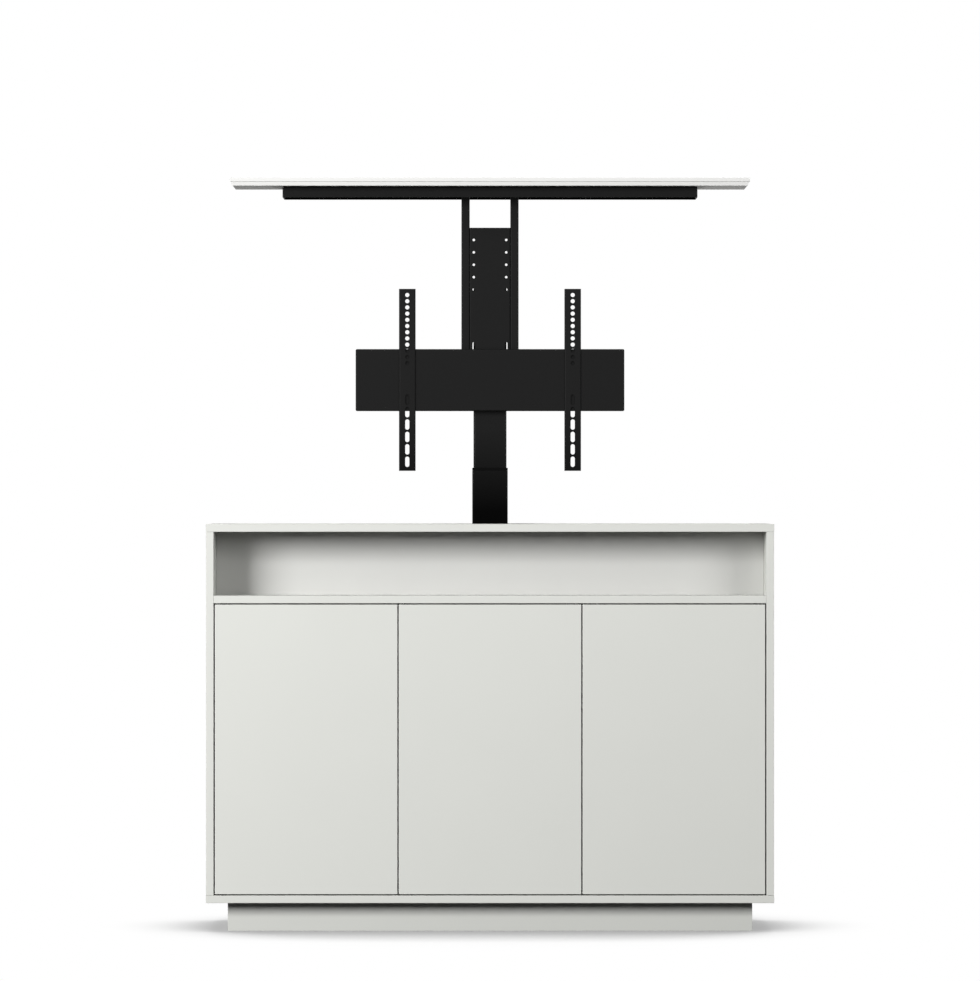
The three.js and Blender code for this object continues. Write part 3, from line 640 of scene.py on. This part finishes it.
class LIFTCABINET_OT_stage(Step, bpy.types.Operator):
    """Makes the camera, the lights, the white surroundings and the floor"""

    bl_idname = "lift_cabinet.stage"
    bl_label = "Stage"

    def make(self, sizes):
        scene = bpy.context.scene
        scene.view_settings.view_transform = "Standard"

        camera_data = bpy.data.cameras.new("front_camera")
        camera_data.lens = CAMERA_LENS
        camera_data.sensor_width = CAMERA_SENSOR
        camera_data.clip_end = 60
        camera = bpy.data.objects.new("front_camera", camera_data)
        camera.location = (0, cad_box[0][1] - CAMERA_AHEAD, CAMERA_HEIGHT)
        camera.rotation_euler = (math.pi / 2, 0, 0)
        scene.collection.objects.link(camera)
        scene.camera = camera

        for name, (place, width, height, turn, power, mirrored) in SOFT_BOXES.items():
            data = bpy.data.lights.new(name, "AREA")
            data.shape = "RECTANGLE"
            data.size, data.size_y = width, height
            data.energy = power
            light = bpy.data.objects.new(name, data)
            light.location = place
            light.rotation_euler = [math.radians(angle) for angle in turn]
            light.visible_glossy = mirrored
            scene.collection.objects.link(light)

        world = bpy.data.worlds.new("white_surroundings")
        world.use_nodes = True
        tree = world.node_tree
        tree.nodes.clear()
        ambient = add(tree, "ShaderNodeBackground", {"Color": (1, 1, 1, 1), "Strength": AMBIENT})
        white = add(tree, "ShaderNodeBackground", WHITE_LIGHT)
        sorts = {0: seen_directly(tree), 1: ambient.outputs[0], 2: white.outputs[0]}
        mixed = add(tree, "ShaderNodeMixShader", {}, sorts)
        add(tree, "ShaderNodeOutputWorld", {}, {"Surface": mixed.outputs[0]})
        scene.world = world

        self.floor(scene.lift_cabinet_colours.floor)

    def floor(self, colour):
        # Floor paint, rolled on smooth: plain white with the cabinet's soft contact shadow, mostly a painted
        # shadow that glows as bright as the place is open, and it runs out into the white surroundings a
        # little way off.
        bpy.ops.mesh.primitive_circle_add(vertices=96, radius=4, fill_type="NGON", location=ORIGIN)
        floor = placed("floor")
        oval = {"Scale": (1 / FADE_ACROSS, 1 / FADE_DEEP, 0)}
        material, tree, (squeezed,) = new_material("rolled_floor_paint", ("ShaderNodeMapping", oval))
        spread = add(tree, "ShaderNodeBsdfDiffuse", {"Color": colour})
        near = add(tree, "ShaderNodeAmbientOcclusion", {"samples": 16, "Distance": CONTACT_REACH})
        shade = add(tree, "ShaderNodeMapRange", CONTACT_SHADE, {"Value": near.outputs["AO"]})
        # Painted shadow: a glow that darkens where ambient occlusion finds the floor closed in
        soft = add(tree, "ShaderNodeEmission", {"Strength": 1}, {"Color": shade.outputs["Result"]})
        cast = add(tree, "ShaderNodeBsdfDiffuse", {"Color": (1, 1, 1, 1)})
        lit = add(tree, "ShaderNodeMixShader", {0: CAST_SHARE}, {1: soft.outputs[0], 2: cast.outputs[0]})
        plain = add(tree, "ShaderNodeEmission", WHITE_LIGHT)
        away = add(tree, "ShaderNodeVectorMath", {"operation": "LENGTH"}, {0: squeezed.outputs[0]})
        rim = {"interpolation_type": "SMOOTHSTEP", "From Min": FADE_START}
        fade = add(tree, "ShaderNodeMapRange", rim, {"Value": away.outputs["Value"]})
        parts = {0: fade.outputs["Result"], 1: lit.outputs[0], 2: plain.outputs[0]}
        shown = add(tree, "ShaderNodeMixShader", {}, parts)
        sorts = {0: seen_directly(tree), 1: spread.outputs[0], 2: shown.outputs[0]}
        mixed = add(tree, "ShaderNodeMixShader", {}, sorts)
        add(tree, "ShaderNodeOutputMaterial", {}, {"Surface": mixed.outputs[0]})
        floor.data.materials.append(material)


# The cabinet

PIN_RADIUS = 4 * MM


def boxed(node, ending):
    """A block with the size and the place of a CAD node, named for the node and how the piece is made."""
    return cuboid(f"{node}_{ending}", *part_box(node))


def board_at(node, *cutters):
    """A board in the place of its CAD node, its edges eased, less the cutters."""
    sizes = bpy.context.scene.lift_cabinet_sizes
    return cut(eased(boxed(node, "board"), sizes.board_arris, 3), *cutters)


def with_painted_shade_under(obj, node):
    """Gives a board painted shade, a dark grey that sends little light back, on the underside that nobody
    looks at.
    """
    obj.data.materials.append(finish_for("backing_film"))
    under_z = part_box(node)[0].z
    with editing(obj, "FACE", lambda face: face.normal.z < -0.99 and face.center.z < under_z + 0.5 * MM):
        obj.active_material_index = 1
        bpy.ops.object.material_slot_assign()


def pin_bore(pin, z0, z1):
    sizes = bpy.context.scene.lift_cabinet_sizes
    return cylinder("pin_bore", PIN_RADIUS + sizes.pin_clearance, middle(pin), "Z", z0, z1, 32)


def narrowed(obj, inset):
    """The block with its underside drawn in by the inset at both ends."""
    corners = [Vector(v.co) for v in obj.data.vertices]
    low = Vector([min(c[i] for c in corners) for i in range(3)])
    high = Vector([max(c[i] for c in corners) for i in range(3)])
    width = (high - low).x
    share = (width - 2 * inset) / width
    with editing(obj, "FACE", faces_towards(2, -1)):
        bpy.ops.transform.resize(value=(share, 1, 1), center_override=(low + high) / 2)
    return obj


class LIFTCABINET_OT_carcass(Step, bpy.types.Operator):
    """Makes the lacquered boards of the carcass and the plinth"""

    bl_idname = "lift_cabinet.carcass"
    bl_label = "Carcass"

    def make(self, sizes):
        outer = ["side_panel_left", "side_panel_right"]
        outer += ["plinth_" + place for place in ("front", "rear", "left", "right")]
        inner = ["well_board", "partition_left", "partition_right"] + ["shelf_" + door for door in DOORS]
        for node in outer:
            dressed(board_at(node), "cabinet", "white_lacquer", node)
        for node in inner:
            dressed(board_at(node), "cabinet", "melamine", node)

        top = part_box("bottom_panel")[1].z
        bores = [pin_bore("door_pin_lower_" + d, top - sizes.pin_depth, top + BEYOND) for d in DOORS]
        bottom = dressed(board_at("bottom_panel", *bores), "cabinet", "white_lacquer", "bottom_panel")
        with_painted_shade_under(bottom, "bottom_panel")

        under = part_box("niche_shelf")[0].z
        bores = [pin_bore("door_pin_upper_" + d, under - BEYOND, under + sizes.pin_depth) for d in DOORS]
        dressed(board_at("niche_shelf", *bores), "cabinet", "white_lacquer", "niche_shelf")

        with_painted_shade_under(dressed(self.top_panel(sizes), "cabinet", "white_lacquer", "top_panel"), "top_panel")

        low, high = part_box("back_panel")
        hole = cylinder("outlet_hole", 30 * MM, middle("cable_grommet"), "Y", low.y - MM, high.y + MM)
        back = cut(eased(boxed("back_panel", "board"), 0.4 * MM), hole)
        dressed(back, "cabinet", "melamine", "back_panel")

    def top_panel(self, sizes):
        """The top, with the stepped and bevelled opening that the lid drops into."""
        low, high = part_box("top_panel")
        lid_low, lid_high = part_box("lid_board")
        gap = Vector((sizes.lid_gap, sizes.lid_gap, 0))
        step = Vector((sizes.lid_step, sizes.lid_step, 0))
        thickness = lid_high.z - lid_low.z
        seam_z = high.z - thickness
        upper_low, upper_high = lid_low - gap, lid_high + gap
        upper_low.z, upper_high.z = seam_z, high.z + BEYOND
        lower_low, lower_high = upper_low + step, upper_high - step
        lower_low.z = seam_z - sizes.lid_seam - thickness - sizes.lid_gap
        lower_high.z = seam_z + sizes.lid_seam
        upper = cuboid("lid_opening_upper", upper_low, upper_high)
        lower = narrowed(cuboid("lid_opening_lower", lower_low, lower_high), sizes.lid_bevel)
        return eased(cut(boxed("top_panel", "board"), upper, lower), sizes.board_arris, 3, 40)


class LIFTCABINET_OT_doors(Step, bpy.types.Operator):
    """Makes the three doors and the pins that they turn on"""

    bl_idname = "lift_cabinet.doors"
    bl_label = "Doors and pins"

    def make(self, sizes):
        reach = sizes.pin_depth + sizes.pin_clearance
        for door in DOORS:
            node = "door_" + door
            low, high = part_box(node)
            bores = [
                pin_bore("door_pin_lower_" + door, low.z - BEYOND, low.z + reach),
                pin_bore("door_pin_upper_" + door, high.z - reach, high.z + BEYOND),
            ]
            dressed(board_at(node, *bores), node, "white_lacquer", node)
            for place in ("upper", "lower"):
                self.pin(f"door_pin_{place}_{door}")

    def pin(self, node):
        """A turned pin, with a collar halfway up that keeps the door off the board."""
        (low, high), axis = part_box(node), middle(node)
        collar_radius, half_collar, arris = mm(8, 1.2, 0.3)
        shank = cylinder(node + "_turned", PIN_RADIUS, axis, "Z", low.z, high.z, 40)
        collar = cylinder("collar", collar_radius, axis, "Z", axis.z - half_collar, axis.z + half_collar, 40)
        dressed(eased(united(shank, collar), arris, 2, 50), "cabinet", "column_coat", node)


class LIFTCABINET_OT_latches(Step, bpy.types.Operator):
    """Makes the touch latches behind the doors"""

    bl_idname = "lift_cabinet.latches"
    bl_label = "Touch latches"

    def make(self, sizes):
        pad_radius, pad_depth, rod_radius, bore_radius, bore_rest = mm(6, 3, 3.5, 3.8, 8)
        corner, housing_arris, plunger_arris = mm(3, 0.5, 0.6)
        for door in DOORS:
            housing, plunger = "latch_housing_" + door, "latch_plunger_" + door
            housing_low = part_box(housing)[0]
            rod_low, rod_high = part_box(plunger)
            axis = middle(plunger)
            body = boxed(housing, "moulded")
            round_edges(body, runs_along(body, 1), corner)
            eased(body, housing_arris, 2, 50)
            bore_y = rod_high.y + bore_rest
            cut(body, cylinder("bore", bore_radius, axis, "Y", housing_low.y - BEYOND, bore_y))
            dressed(body, "cabinet", "grey_plastic", housing)

            pad_y = rod_low.y + pad_depth
            pad = cylinder(plunger + "_moulded", pad_radius, axis, "Y", rod_low.y, pad_y)
            rod = cylinder("rod", rod_radius, axis, "Y", pad_y - MM, rod_high.y)
            dressed(eased(united(pad, rod), plunger_arris, 3, 50), plunger, "grey_plastic", plunger)


# The lift

CLAMP_SHEET = 3 * MM


def sheet_piece(node, open_sides, sheet, bend, segments=4, arris=0.3 * MM):
    """A folded and coated piece of the carriage, in the place of its CAD node."""
    obj = folded(node + "_folded", *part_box(node), open_sides, sheet, bend, segments)
    dressed(deburred(obj, arris), "carriage", "black_powder_coat", node)


class LIFTCABINET_OT_lid(Step, bpy.types.Operator):
    """Makes the lid's two boards and the folded beam under them"""

    bl_idname = "lift_cabinet.lid"
    bl_label = "Lid and beam"

    def make(self, sizes):
        dressed(eased(boxed("lid_board", "lacquered"), MM, 3), "carriage", "lid_lacquer", "lid_board")
        lower = narrowed(boxed("lid_underboard", "lacquered"), sizes.lid_bevel)
        dressed(eased(lower, 0.5 * MM, 2, 20), "carriage", "primer", "lid_underboard")

        sheet_piece("lid_beam", "-Z", sizes.beam_sheet, sizes.bend_radius)

        # Painted shade: a black strip of tape on the rear flange inside the beam, where it lies in shade
        low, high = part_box("lid_beam")
        from_end, reach, sunk, raised, height, arris = mm(2, 1.5, 0.05, 0.3, 14, 0.3)
        flange_y = high.y - sizes.beam_sheet
        shade_strip_low = (low.x + from_end, flange_y - reach, low.z + raised)
        shade_strip_high = (high.x - from_end, flange_y - sunk, low.z + height)
        dressed(eased(cuboid("lid_beam_tape", shade_strip_low, shade_strip_high), arris), "carriage", "beam_shade_strip")

        rows = [(low.y + high.y) / 2 + y for y in mm(-38, 38)]
        spots = grid(mm(-470, -310, -150, 150, 310, 470), rows, [high.z - sizes.beam_sheet], DOWN)
        fastened("lid_beam_screws", "carriage", cross_head_screw(*mm(5.5, 3)), spots)


class LIFTCABINET_OT_rails(Step, bpy.types.Operator):
    """Makes the lid's rails, the centre plate between them, the column's head and their bolts"""

    bl_idname = "lift_cabinet.rails"
    bl_label = "Rails and centre plate"

    def make(self, sizes):
        for side in SIDES:
            sheet_piece("lid_rail_" + side, "+Y +Z -Z", sizes.beam_sheet, sizes.bend_radius)
            self.cleat(side, *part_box("lid_rail_" + side))

        low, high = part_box("centre_plate")
        spread = Vector((sizes.plate_spread, 0, 0))
        ends = low - spread, high + spread
        plate = folded("centre_plate_folded", *ends, "+Y +Z -Z", sizes.bracket_sheet, sizes.bend_radius)
        holes_down = mm(*(29.5 + 30 * row for row in range(5)))
        slot_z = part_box("crossbar")[1].z + 17 * MM - sizes.plate_slot / 2
        column = [(high.z - z, sizes.plate_hole) for z in holes_down] + [(slot_z, sizes.plate_slot)]
        places = [(x, *hole) for x in mm(-39.25, 39.25) for hole in column]
        punched(plate, low.y, sizes.plate_hole, places)
        dressed(deburred(plate), "carriage", "black_powder_coat", "centre_plate")

        head_sheet = 5 * MM
        sheet_piece("column_head", "+Y +Z +X -X", head_sheet, 8 * MM, 5, 0.4 * MM)

        head_low, head_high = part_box("column_head")
        heights = [head_high.z - z for z in mm(12, 38)]
        spots = grid(mm(-22, 22), [head_low.y + head_sheet], heights, REAR)
        spots += grid(mm(-20, 20), [head_high.y - 16 * MM], [head_low.z + head_sheet], UP)
        heights = [low.z + z for z in mm(25, 105)]
        spots += grid(mm(-24, 24), [low.y + sizes.bracket_sheet], heights, REAR)
        heights = [low.z + z for z in mm(30, 100)]
        spots += grid(mm(-59.2, 59.2), [low.y + sizes.beam_sheet], heights, REAR)
        fastened("bracket_bolts", "carriage", socket_bolt(*mm(5, 4, 1)), spots)

    def cleat(self, side, low, high):
        """The small angle that screws a rail to the underside of the beam."""
        depth, height, gap, sheet, bend = mm(20, 18, 0.2, 2.5, 3.5)
        ends = (low.x, low.y - depth, high.z - height), (high.x, low.y - gap, high.z)
        obj = folded("rail_cleat_" + side, *ends, "-Y -Z +X -X", sheet, bend)
        dressed(deburred(obj), "carriage", "black_powder_coat")
        x = (low.x + high.x) / 2
        spots = [
            ((x, low.y - 12 * MM, high.z - sheet), DOWN),
            ((x, low.y - 2.7 * MM, high.z - 11 * MM), FRONT),
        ]
        fastened("cleat_bolts_" + side, "carriage", socket_bolt(*mm(3.6, 3)), spots)


class LIFTCABINET_OT_bracket(Step, bpy.types.Operator):
    """Makes the crossbar and the two punched strips that hook over it"""

    bl_idname = "lift_cabinet.bracket"
    bl_label = "Crossbar and strips"

    def make(self, sizes):
        sheet_piece("crossbar", "+Y", sizes.bracket_sheet, sizes.bend_radius)
        for side in SIDES:
            self.strip("screen_strip_" + side, sizes, *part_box("crossbar"))

    def strip(self, node, sizes, bar_low, bar_high):
        """A channel, cut out where it straddles the crossbar, with a hook over each edge of the bar."""
        low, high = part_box(node)
        slack, sheet, rise, drop, lip_width, flange = mm(0.5, 2.5, 16, 8, 13.5, 12)
        flange_y = low.y + flange
        ends = low, (high.x, flange_y, high.z)
        strip = folded(node + "_folded", *ends, "+Y +Z -Z", sizes.bracket_sheet, sizes.bend_radius)
        notch_low = (low.x - MM, low.y + sizes.bracket_sheet, bar_low.z - slack)
        notch_high = (high.x + MM, high.y + MM, bar_high.z + slack)
        cut(strip, cuboid("crossbar_notch", notch_low, notch_high))

        lip_y = high.y - sheet
        hooks = []
        for edge_z, sign in ((bar_high.z + slack, 1), (bar_low.z - slack, -1)):
            far_z = edge_z + sign * rise
            z0, z1 = sorted((edge_z, far_z))
            for x0 in (low.x, high.x - sheet):
                hooks.append(cuboid("hook_side", (x0, flange_y - MM, z0), (x0 + sheet, high.y, z1)))
            z0, z1 = sorted((edge_z - sign * (slack + drop), far_z))
            for x0 in (low.x, high.x - lip_width):
                hooks.append(cuboid("hook_lip", (x0, lip_y, z0), (x0 + lip_width, high.y, z1)))
        united(strip, *hooks)

        x = (low.x + high.x) / 2
        holes_down = mm(*(14.8 + 15 * row for row in range(12)))
        slots_up = mm(*(22 + 30 * row for row in range(6)))
        places = [(x, high.z - z, sizes.strip_hole) for z in holes_down]
        places += [(x, low.z + z, sizes.strip_slot) for z in slots_up]
        punched(strip, low.y, sizes.strip_hole, places)
        dressed(deburred(strip), node, "strip_coat", node)


class LIFTCABINET_OT_column(Step, bpy.types.Operator):
    """Makes the telescopic column's tubes and collars, and finishes its spindles and nuts"""

    bl_idname = "lift_cabinet.column"
    bl_label = "Column"

    def make(self, sizes):
        corner, segments = sizes.tube_corner, 6
        tubes = {"fixed_tube": "cabinet", "middle_tube": "middle_stage", "inner_tube": "carriage"}
        for node, body in tubes.items():
            tube = folded(node + "_drawn", *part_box(node), "+Z -Z", sizes.tube_wall, corner, segments)
            dressed(deburred(tube, 0.2 * MM), body, "column_coat", node)
        for node, body in {"fixed_tube_collar": "cabinet", "middle_tube_collar": "middle_stage"}.items():
            collar = folded(node + "_moulded", *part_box(node), "+Z -Z", 2.7 * MM, corner, segments)
            dressed(eased(collar, 0.3 * MM, 2, 60), body, "collar_plastic", node)
        for node in ("lower_spindle", "upper_spindle"):
            refinished(node, "zinc_thread")
        for node in ("middle_nut", "inner_nut"):
            refinished(node, "grey_plastic")


class LIFTCABINET_OT_drive(Step, bpy.types.Operator):
    """Makes the base plate, the gear housing, the motor, the clamp and their screws"""

    bl_idname = "lift_cabinet.drive"
    bl_label = "Drive"

    def make(self, sizes):
        plate = boxed("lift_base_plate", "cut")
        round_edges(plate, runs_along(plate, 2), 6 * MM)
        dressed(deburred(plate, 0.4 * MM), "cabinet", "black_powder_coat", "lift_base_plate")
        dressed(self.gearbox(), "cabinet", "black_plastic", "gearbox_housing")
        dressed(self.motor(), "cabinet", "zinc_steel", "drive_motor")
        dressed(self.clamp(), "cabinet", "black_powder_coat", "tube_clamp")

        low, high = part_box("lift_base_plate")
        inset = 5.5 * MM
        spots = grid(inside(low.x, high.x, inset), inside(low.y, high.y, inset), [high.z], UP)
        low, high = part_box("tube_clamp")
        across, heights = inside(low.x, high.x, 18 * MM), inside(low.z, high.z, 16 * MM)
        spots += grid(across, [high.y - CLAMP_SHEET], heights, FRONT)
        fastened("drive_screws", "cabinet", cross_head_screw(*mm(4.5, 2.6)), spots)

    def gearbox(self):
        """A ribbed housing: its long sides are divided and pocketed."""
        low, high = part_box("gearbox_housing")
        half_rib, pocket_depth, arris = mm(3, 2.5, 0.8)
        obj = boxed("gearbox_housing", "moulded")
        for share in (0.2, 0.4, 0.6, 0.8):
            with editing(obj, "FACE", lambda face: True):
                bpy.ops.mesh.bisect(plane_co=low.lerp(high, share), plane_no=(1, 0, 0))
        with editing(obj, "FACE", lambda face: abs(face.normal.y) > 0.99):
            bpy.ops.mesh.inset(thickness=half_rib, depth=-pocket_depth, use_individual=True)
        return eased(obj, arris)

    def motor(self):
        """A drawn can with rolled seams, an end cap with a bearing boss, and a neck."""
        (low, high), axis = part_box("drive_motor"), middle("drive_motor")
        can_radius, neck_radius, neck_height = mm(29, 18, 6)
        neck_z = low.z + neck_height
        can = cylinder("drive_motor_drawn", can_radius, axis, "Z", neck_z, high.z, 64)

        # Two grooves, each pressed in between two cuts
        for z in (neck_z + 8 * MM, neck_z + 9.5 * MM, high.z - 16 * MM, high.z - 14.5 * MM):
            with editing(can, "FACE", lambda face: True):
                bpy.ops.mesh.bisect(plane_co=(axis.x, axis.y, z), plane_no=(0, 0, 1))
        for z in (neck_z + 8.75 * MM, high.z - 15.25 * MM):
            with editing(can, "FACE", lambda face: abs(face.center.z - z) < 0.5 * MM):
                bpy.ops.transform.resize(value=(0.97, 0.97, 1), center_override=(axis.x, axis.y, z))

        shoulder, cap_rim, boss_step = mm(3.5, 12, 1.5)
        smallest_cap = 1e-4  # square metres
        round_edges(can, above(can, high.z - MM), shoulder)
        with editing(can, "FACE", lambda face: face.normal.z > 0.99 and face.area > smallest_cap):
            bpy.ops.mesh.inset(thickness=cap_rim, depth=0)
            bpy.ops.mesh.inset(thickness=boss_step, depth=-boss_step)
        return united(can, cylinder("neck", neck_radius, axis, "Z", low.z, neck_z + MM))

    def clamp(self):
        """A strap bent round the fixed tube, with a flange on each side."""
        low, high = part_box("tube_clamp")
        tube_low, tube_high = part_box("fixed_tube")
        gap, arris = mm(0.3, 0.5)
        back = cuboid("tube_clamp_bent", (low.x, high.y - CLAMP_SHEET, low.z), high)
        right = tube_high.x + gap, tube_high.x + gap + CLAMP_SHEET
        left = tube_low.x - gap - CLAMP_SHEET, tube_low.x - gap
        arms = [cuboid("arm", (x0, low.y, low.z), (x1, high.y - MM, high.z)) for x0, x1 in (right, left)]
        return eased(united(back, *arms), arris, 2, 50)


class LIFTCABINET_OT_electrics(Step, bpy.types.Operator):
    """Makes the control box, its mains inlet and the cable outlet in the back"""

    bl_idname = "lift_cabinet.electrics"
    bl_label = "Control box and outlet"

    def make(self, sizes):
        dressed(self.box(), "cabinet", "black_plastic", "control_box")
        dressed(self.inlet(), "cabinet", "black_plastic", "power_inlet")
        dressed(self.contacts(), "cabinet", "zinc_steel")
        low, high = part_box("control_box")
        inset = 9 * MM
        spots = grid(inside(low.x, high.x, inset), inside(low.y, high.y, inset), [high.z], UP)
        fastened("control_box_screws", "cabinet", cross_head_screw(*mm(3, 1.6)), spots)
        dressed(self.grommet(), "cabinet", "grey_plastic", "cable_grommet")

    def box(self):
        """The box, with a pocket for the inlet, vents in its top and four ports in its front."""
        low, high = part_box("control_box")
        inlet_low, inlet_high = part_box("power_inlet")
        corner, arris, gap = mm(5, 1.2, 0.3)
        obj = boxed("control_box", "moulded")
        round_edges(obj, runs_along(obj, 2), corner)
        eased(obj, arris, 3, 50)
        pocket_low = (low.x - BEYOND, inlet_low.y - gap, inlet_low.z - gap)
        cutters = [cuboid("inlet_pocket", pocket_low, [place + gap for place in inlet_high])]

        vent_width, vent_depth, vent_inset = mm(3, 2, 16)
        for vent in range(9):
            x = low.x + (50 + 9 * vent) * MM
            vent_low = (x, low.y + vent_inset, high.z - vent_depth)
            cutters.append(cuboid("vent", vent_low, (x + vent_width, high.y - vent_inset, high.z + MM)))
        port_width, port_depth, port_height, port_up = mm(18, 9, 12, 14)
        for port in range(4):
            x, z = low.x + (28 + 32 * port) * MM, low.z + port_up
            port_high = (x + port_width, low.y + port_depth, z + port_height)
            cutters.append(cuboid("port", (x, low.y - MM, z), port_high))
        return cut(obj, *cutters)

    def inlet(self):
        """A shroud round the contacts, open at the end of the box."""
        low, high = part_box("power_inlet")
        wall, depth, arris, recess_arris = mm(3, 11, 0.8, 1.5)
        recess_low = (low.x - MM, low.y + wall, low.z + wall)
        recess_high = (low.x + depth, high.y - wall, high.z - wall)
        recess = eased(cuboid("recess", recess_low, recess_high), recess_arris)
        return cut(eased(boxed("power_inlet", "moulded"), arris), recess)

    def contacts(self):
        """Three flat pins in the inlet."""
        low_x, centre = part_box("power_inlet")[0].x, middle("power_inlet")
        start, end, half_width, half_height, arris = mm(4, 12, 1, 2, 0.3)
        pins = []
        for y, z in ((-6, -1.5), (0, 2.5), (6, -1.5)):
            y, z = centre.y + y * MM, centre.z + z * MM
            pin_low = (low_x + start, y - half_width, z - half_height)
            pins.append(cuboid("contact", pin_low, (low_x + end, y + half_width, z + half_height)))
        return eased(joined("inlet_contacts", pins), arris)

    def grommet(self):
        """A moulded ring with a rim that rests on the back panel."""
        (low, high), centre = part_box("cable_grommet"), middle("cable_grommet")
        ring_radius, rim_radius, rim_depth, bore_radius, arris = mm(29.7, 36, 1.6, 27, 0.5)
        ring = cylinder("cable_grommet_moulded", ring_radius, centre, "Y", low.y, high.y, 72)
        rim = cylinder("rim", rim_radius, centre, "Y", high.y - rim_depth, high.y, 72)
        bore = cylinder("bore", bore_radius, centre, "Y", low.y - MM, high.y + MM, 72)
        return eased(cut(united(ring, rim), bore), arris, 2, 50)


class LIFTCABINET_OT_fittings(Step, bpy.types.Operator):
    """Makes the back panel's screws and the pins that carry the inner shelves"""

    bl_idname = "lift_cabinet.fittings"
    bl_label = "Screws and shelf pins"

    def make(self, sizes):
        low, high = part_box("back_panel")
        edge, sunk = mm(9, 0.2)
        head_y = [high.y - sunk]
        between = high.x - low.x - 2 * edge
        across = [low.x + edge + share * between for share in (0, 0.2, 0.4, 0.6, 0.8, 1)]
        spots = grid(across, head_y, inside(low.z, high.z, edge), REAR)
        for share in (0.25, 0.5, 0.75):
            z = low.z + share * (high.z - low.z)
            spots += grid(inside(low.x, high.x, edge), head_y, [z], REAR)
        fastened("back_panel_screws", "cabinet", cross_head_screw(*mm(3.8, 1.6)), spots)

        pin_radius, pin_length, collar_radius, collar_width, arris = mm(2.5, 9, 4, 1.5, 0.4)
        pin = cylinder("shelf_pin", pin_radius, ORIGIN, "Z", 0, pin_length, 24)
        collar = cylinder("collar", collar_radius, ORIGIN, "Z", 0, collar_width, 24)
        template = eased(united(pin, collar), arris, 2, 50)
        spots = []
        for door in DOORS:
            low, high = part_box("shelf_" + door)
            z = low.z - 4.2 * MM
            for y in inside(low.y, high.y, 18 * MM):
                spots.append(((low.x, y, z), (1, 0, 0)))
                spots.append(((high.x, y, z), (-1, 0, 0)))
        fastened("shelf_pins", "cabinet", template, spots)


class LIFTCABINET_PT_panel(bpy.types.Panel):
    """Lists the steps that dress the cabinet"""

    bl_idname = "LIFTCABINET_PT_panel"
    bl_label = "TV lift cabinet"
    bl_space_type = "VIEW_3D"
    bl_region_type = "UI"
    bl_category = "Lift cabinet"

    def draw(self, context):
        for group in (context.scene.lift_cabinet_sizes, context.scene.lift_cabinet_colours):
            column = self.layout.column(align=True)
            for name in group.__annotations__:
                column.prop(group, name)
        for operator in OPERATORS:
            self.layout.operator(operator.bl_idname)


OPERATORS = Step.__subclasses__()
CLASSES = [LiftCabinetSizes, LiftCabinetColours, *OPERATORS, LIFTCABINET_PT_panel]


def register():
    for cls in CLASSES:
        bpy.utils.register_class(cls)
    bpy.types.Scene.lift_cabinet_sizes = bpy.props.PointerProperty(type=LiftCabinetSizes)
    bpy.types.Scene.lift_cabinet_colours = bpy.props.PointerProperty(type=LiftCabinetColours)


def unregister():
    del bpy.types.Scene.lift_cabinet_colours
    del bpy.types.Scene.lift_cabinet_sizes
    for cls in reversed(CLASSES):
        bpy.utils.unregister_class(cls)


def main():
    register()
    bpy.ops.lift_cabinet.stage()
    bpy.ops.lift_cabinet.carcass()
    bpy.ops.lift_cabinet.doors()
    bpy.ops.lift_cabinet.latches()
    bpy.ops.lift_cabinet.lid()
    bpy.ops.lift_cabinet.rails()
    bpy.ops.lift_cabinet.bracket()
    bpy.ops.lift_cabinet.column()
    bpy.ops.lift_cabinet.drive()
    bpy.ops.lift_cabinet.electrics()
    bpy.ops.lift_cabinet.fittings()


if __name__ == "__main__":
    main()
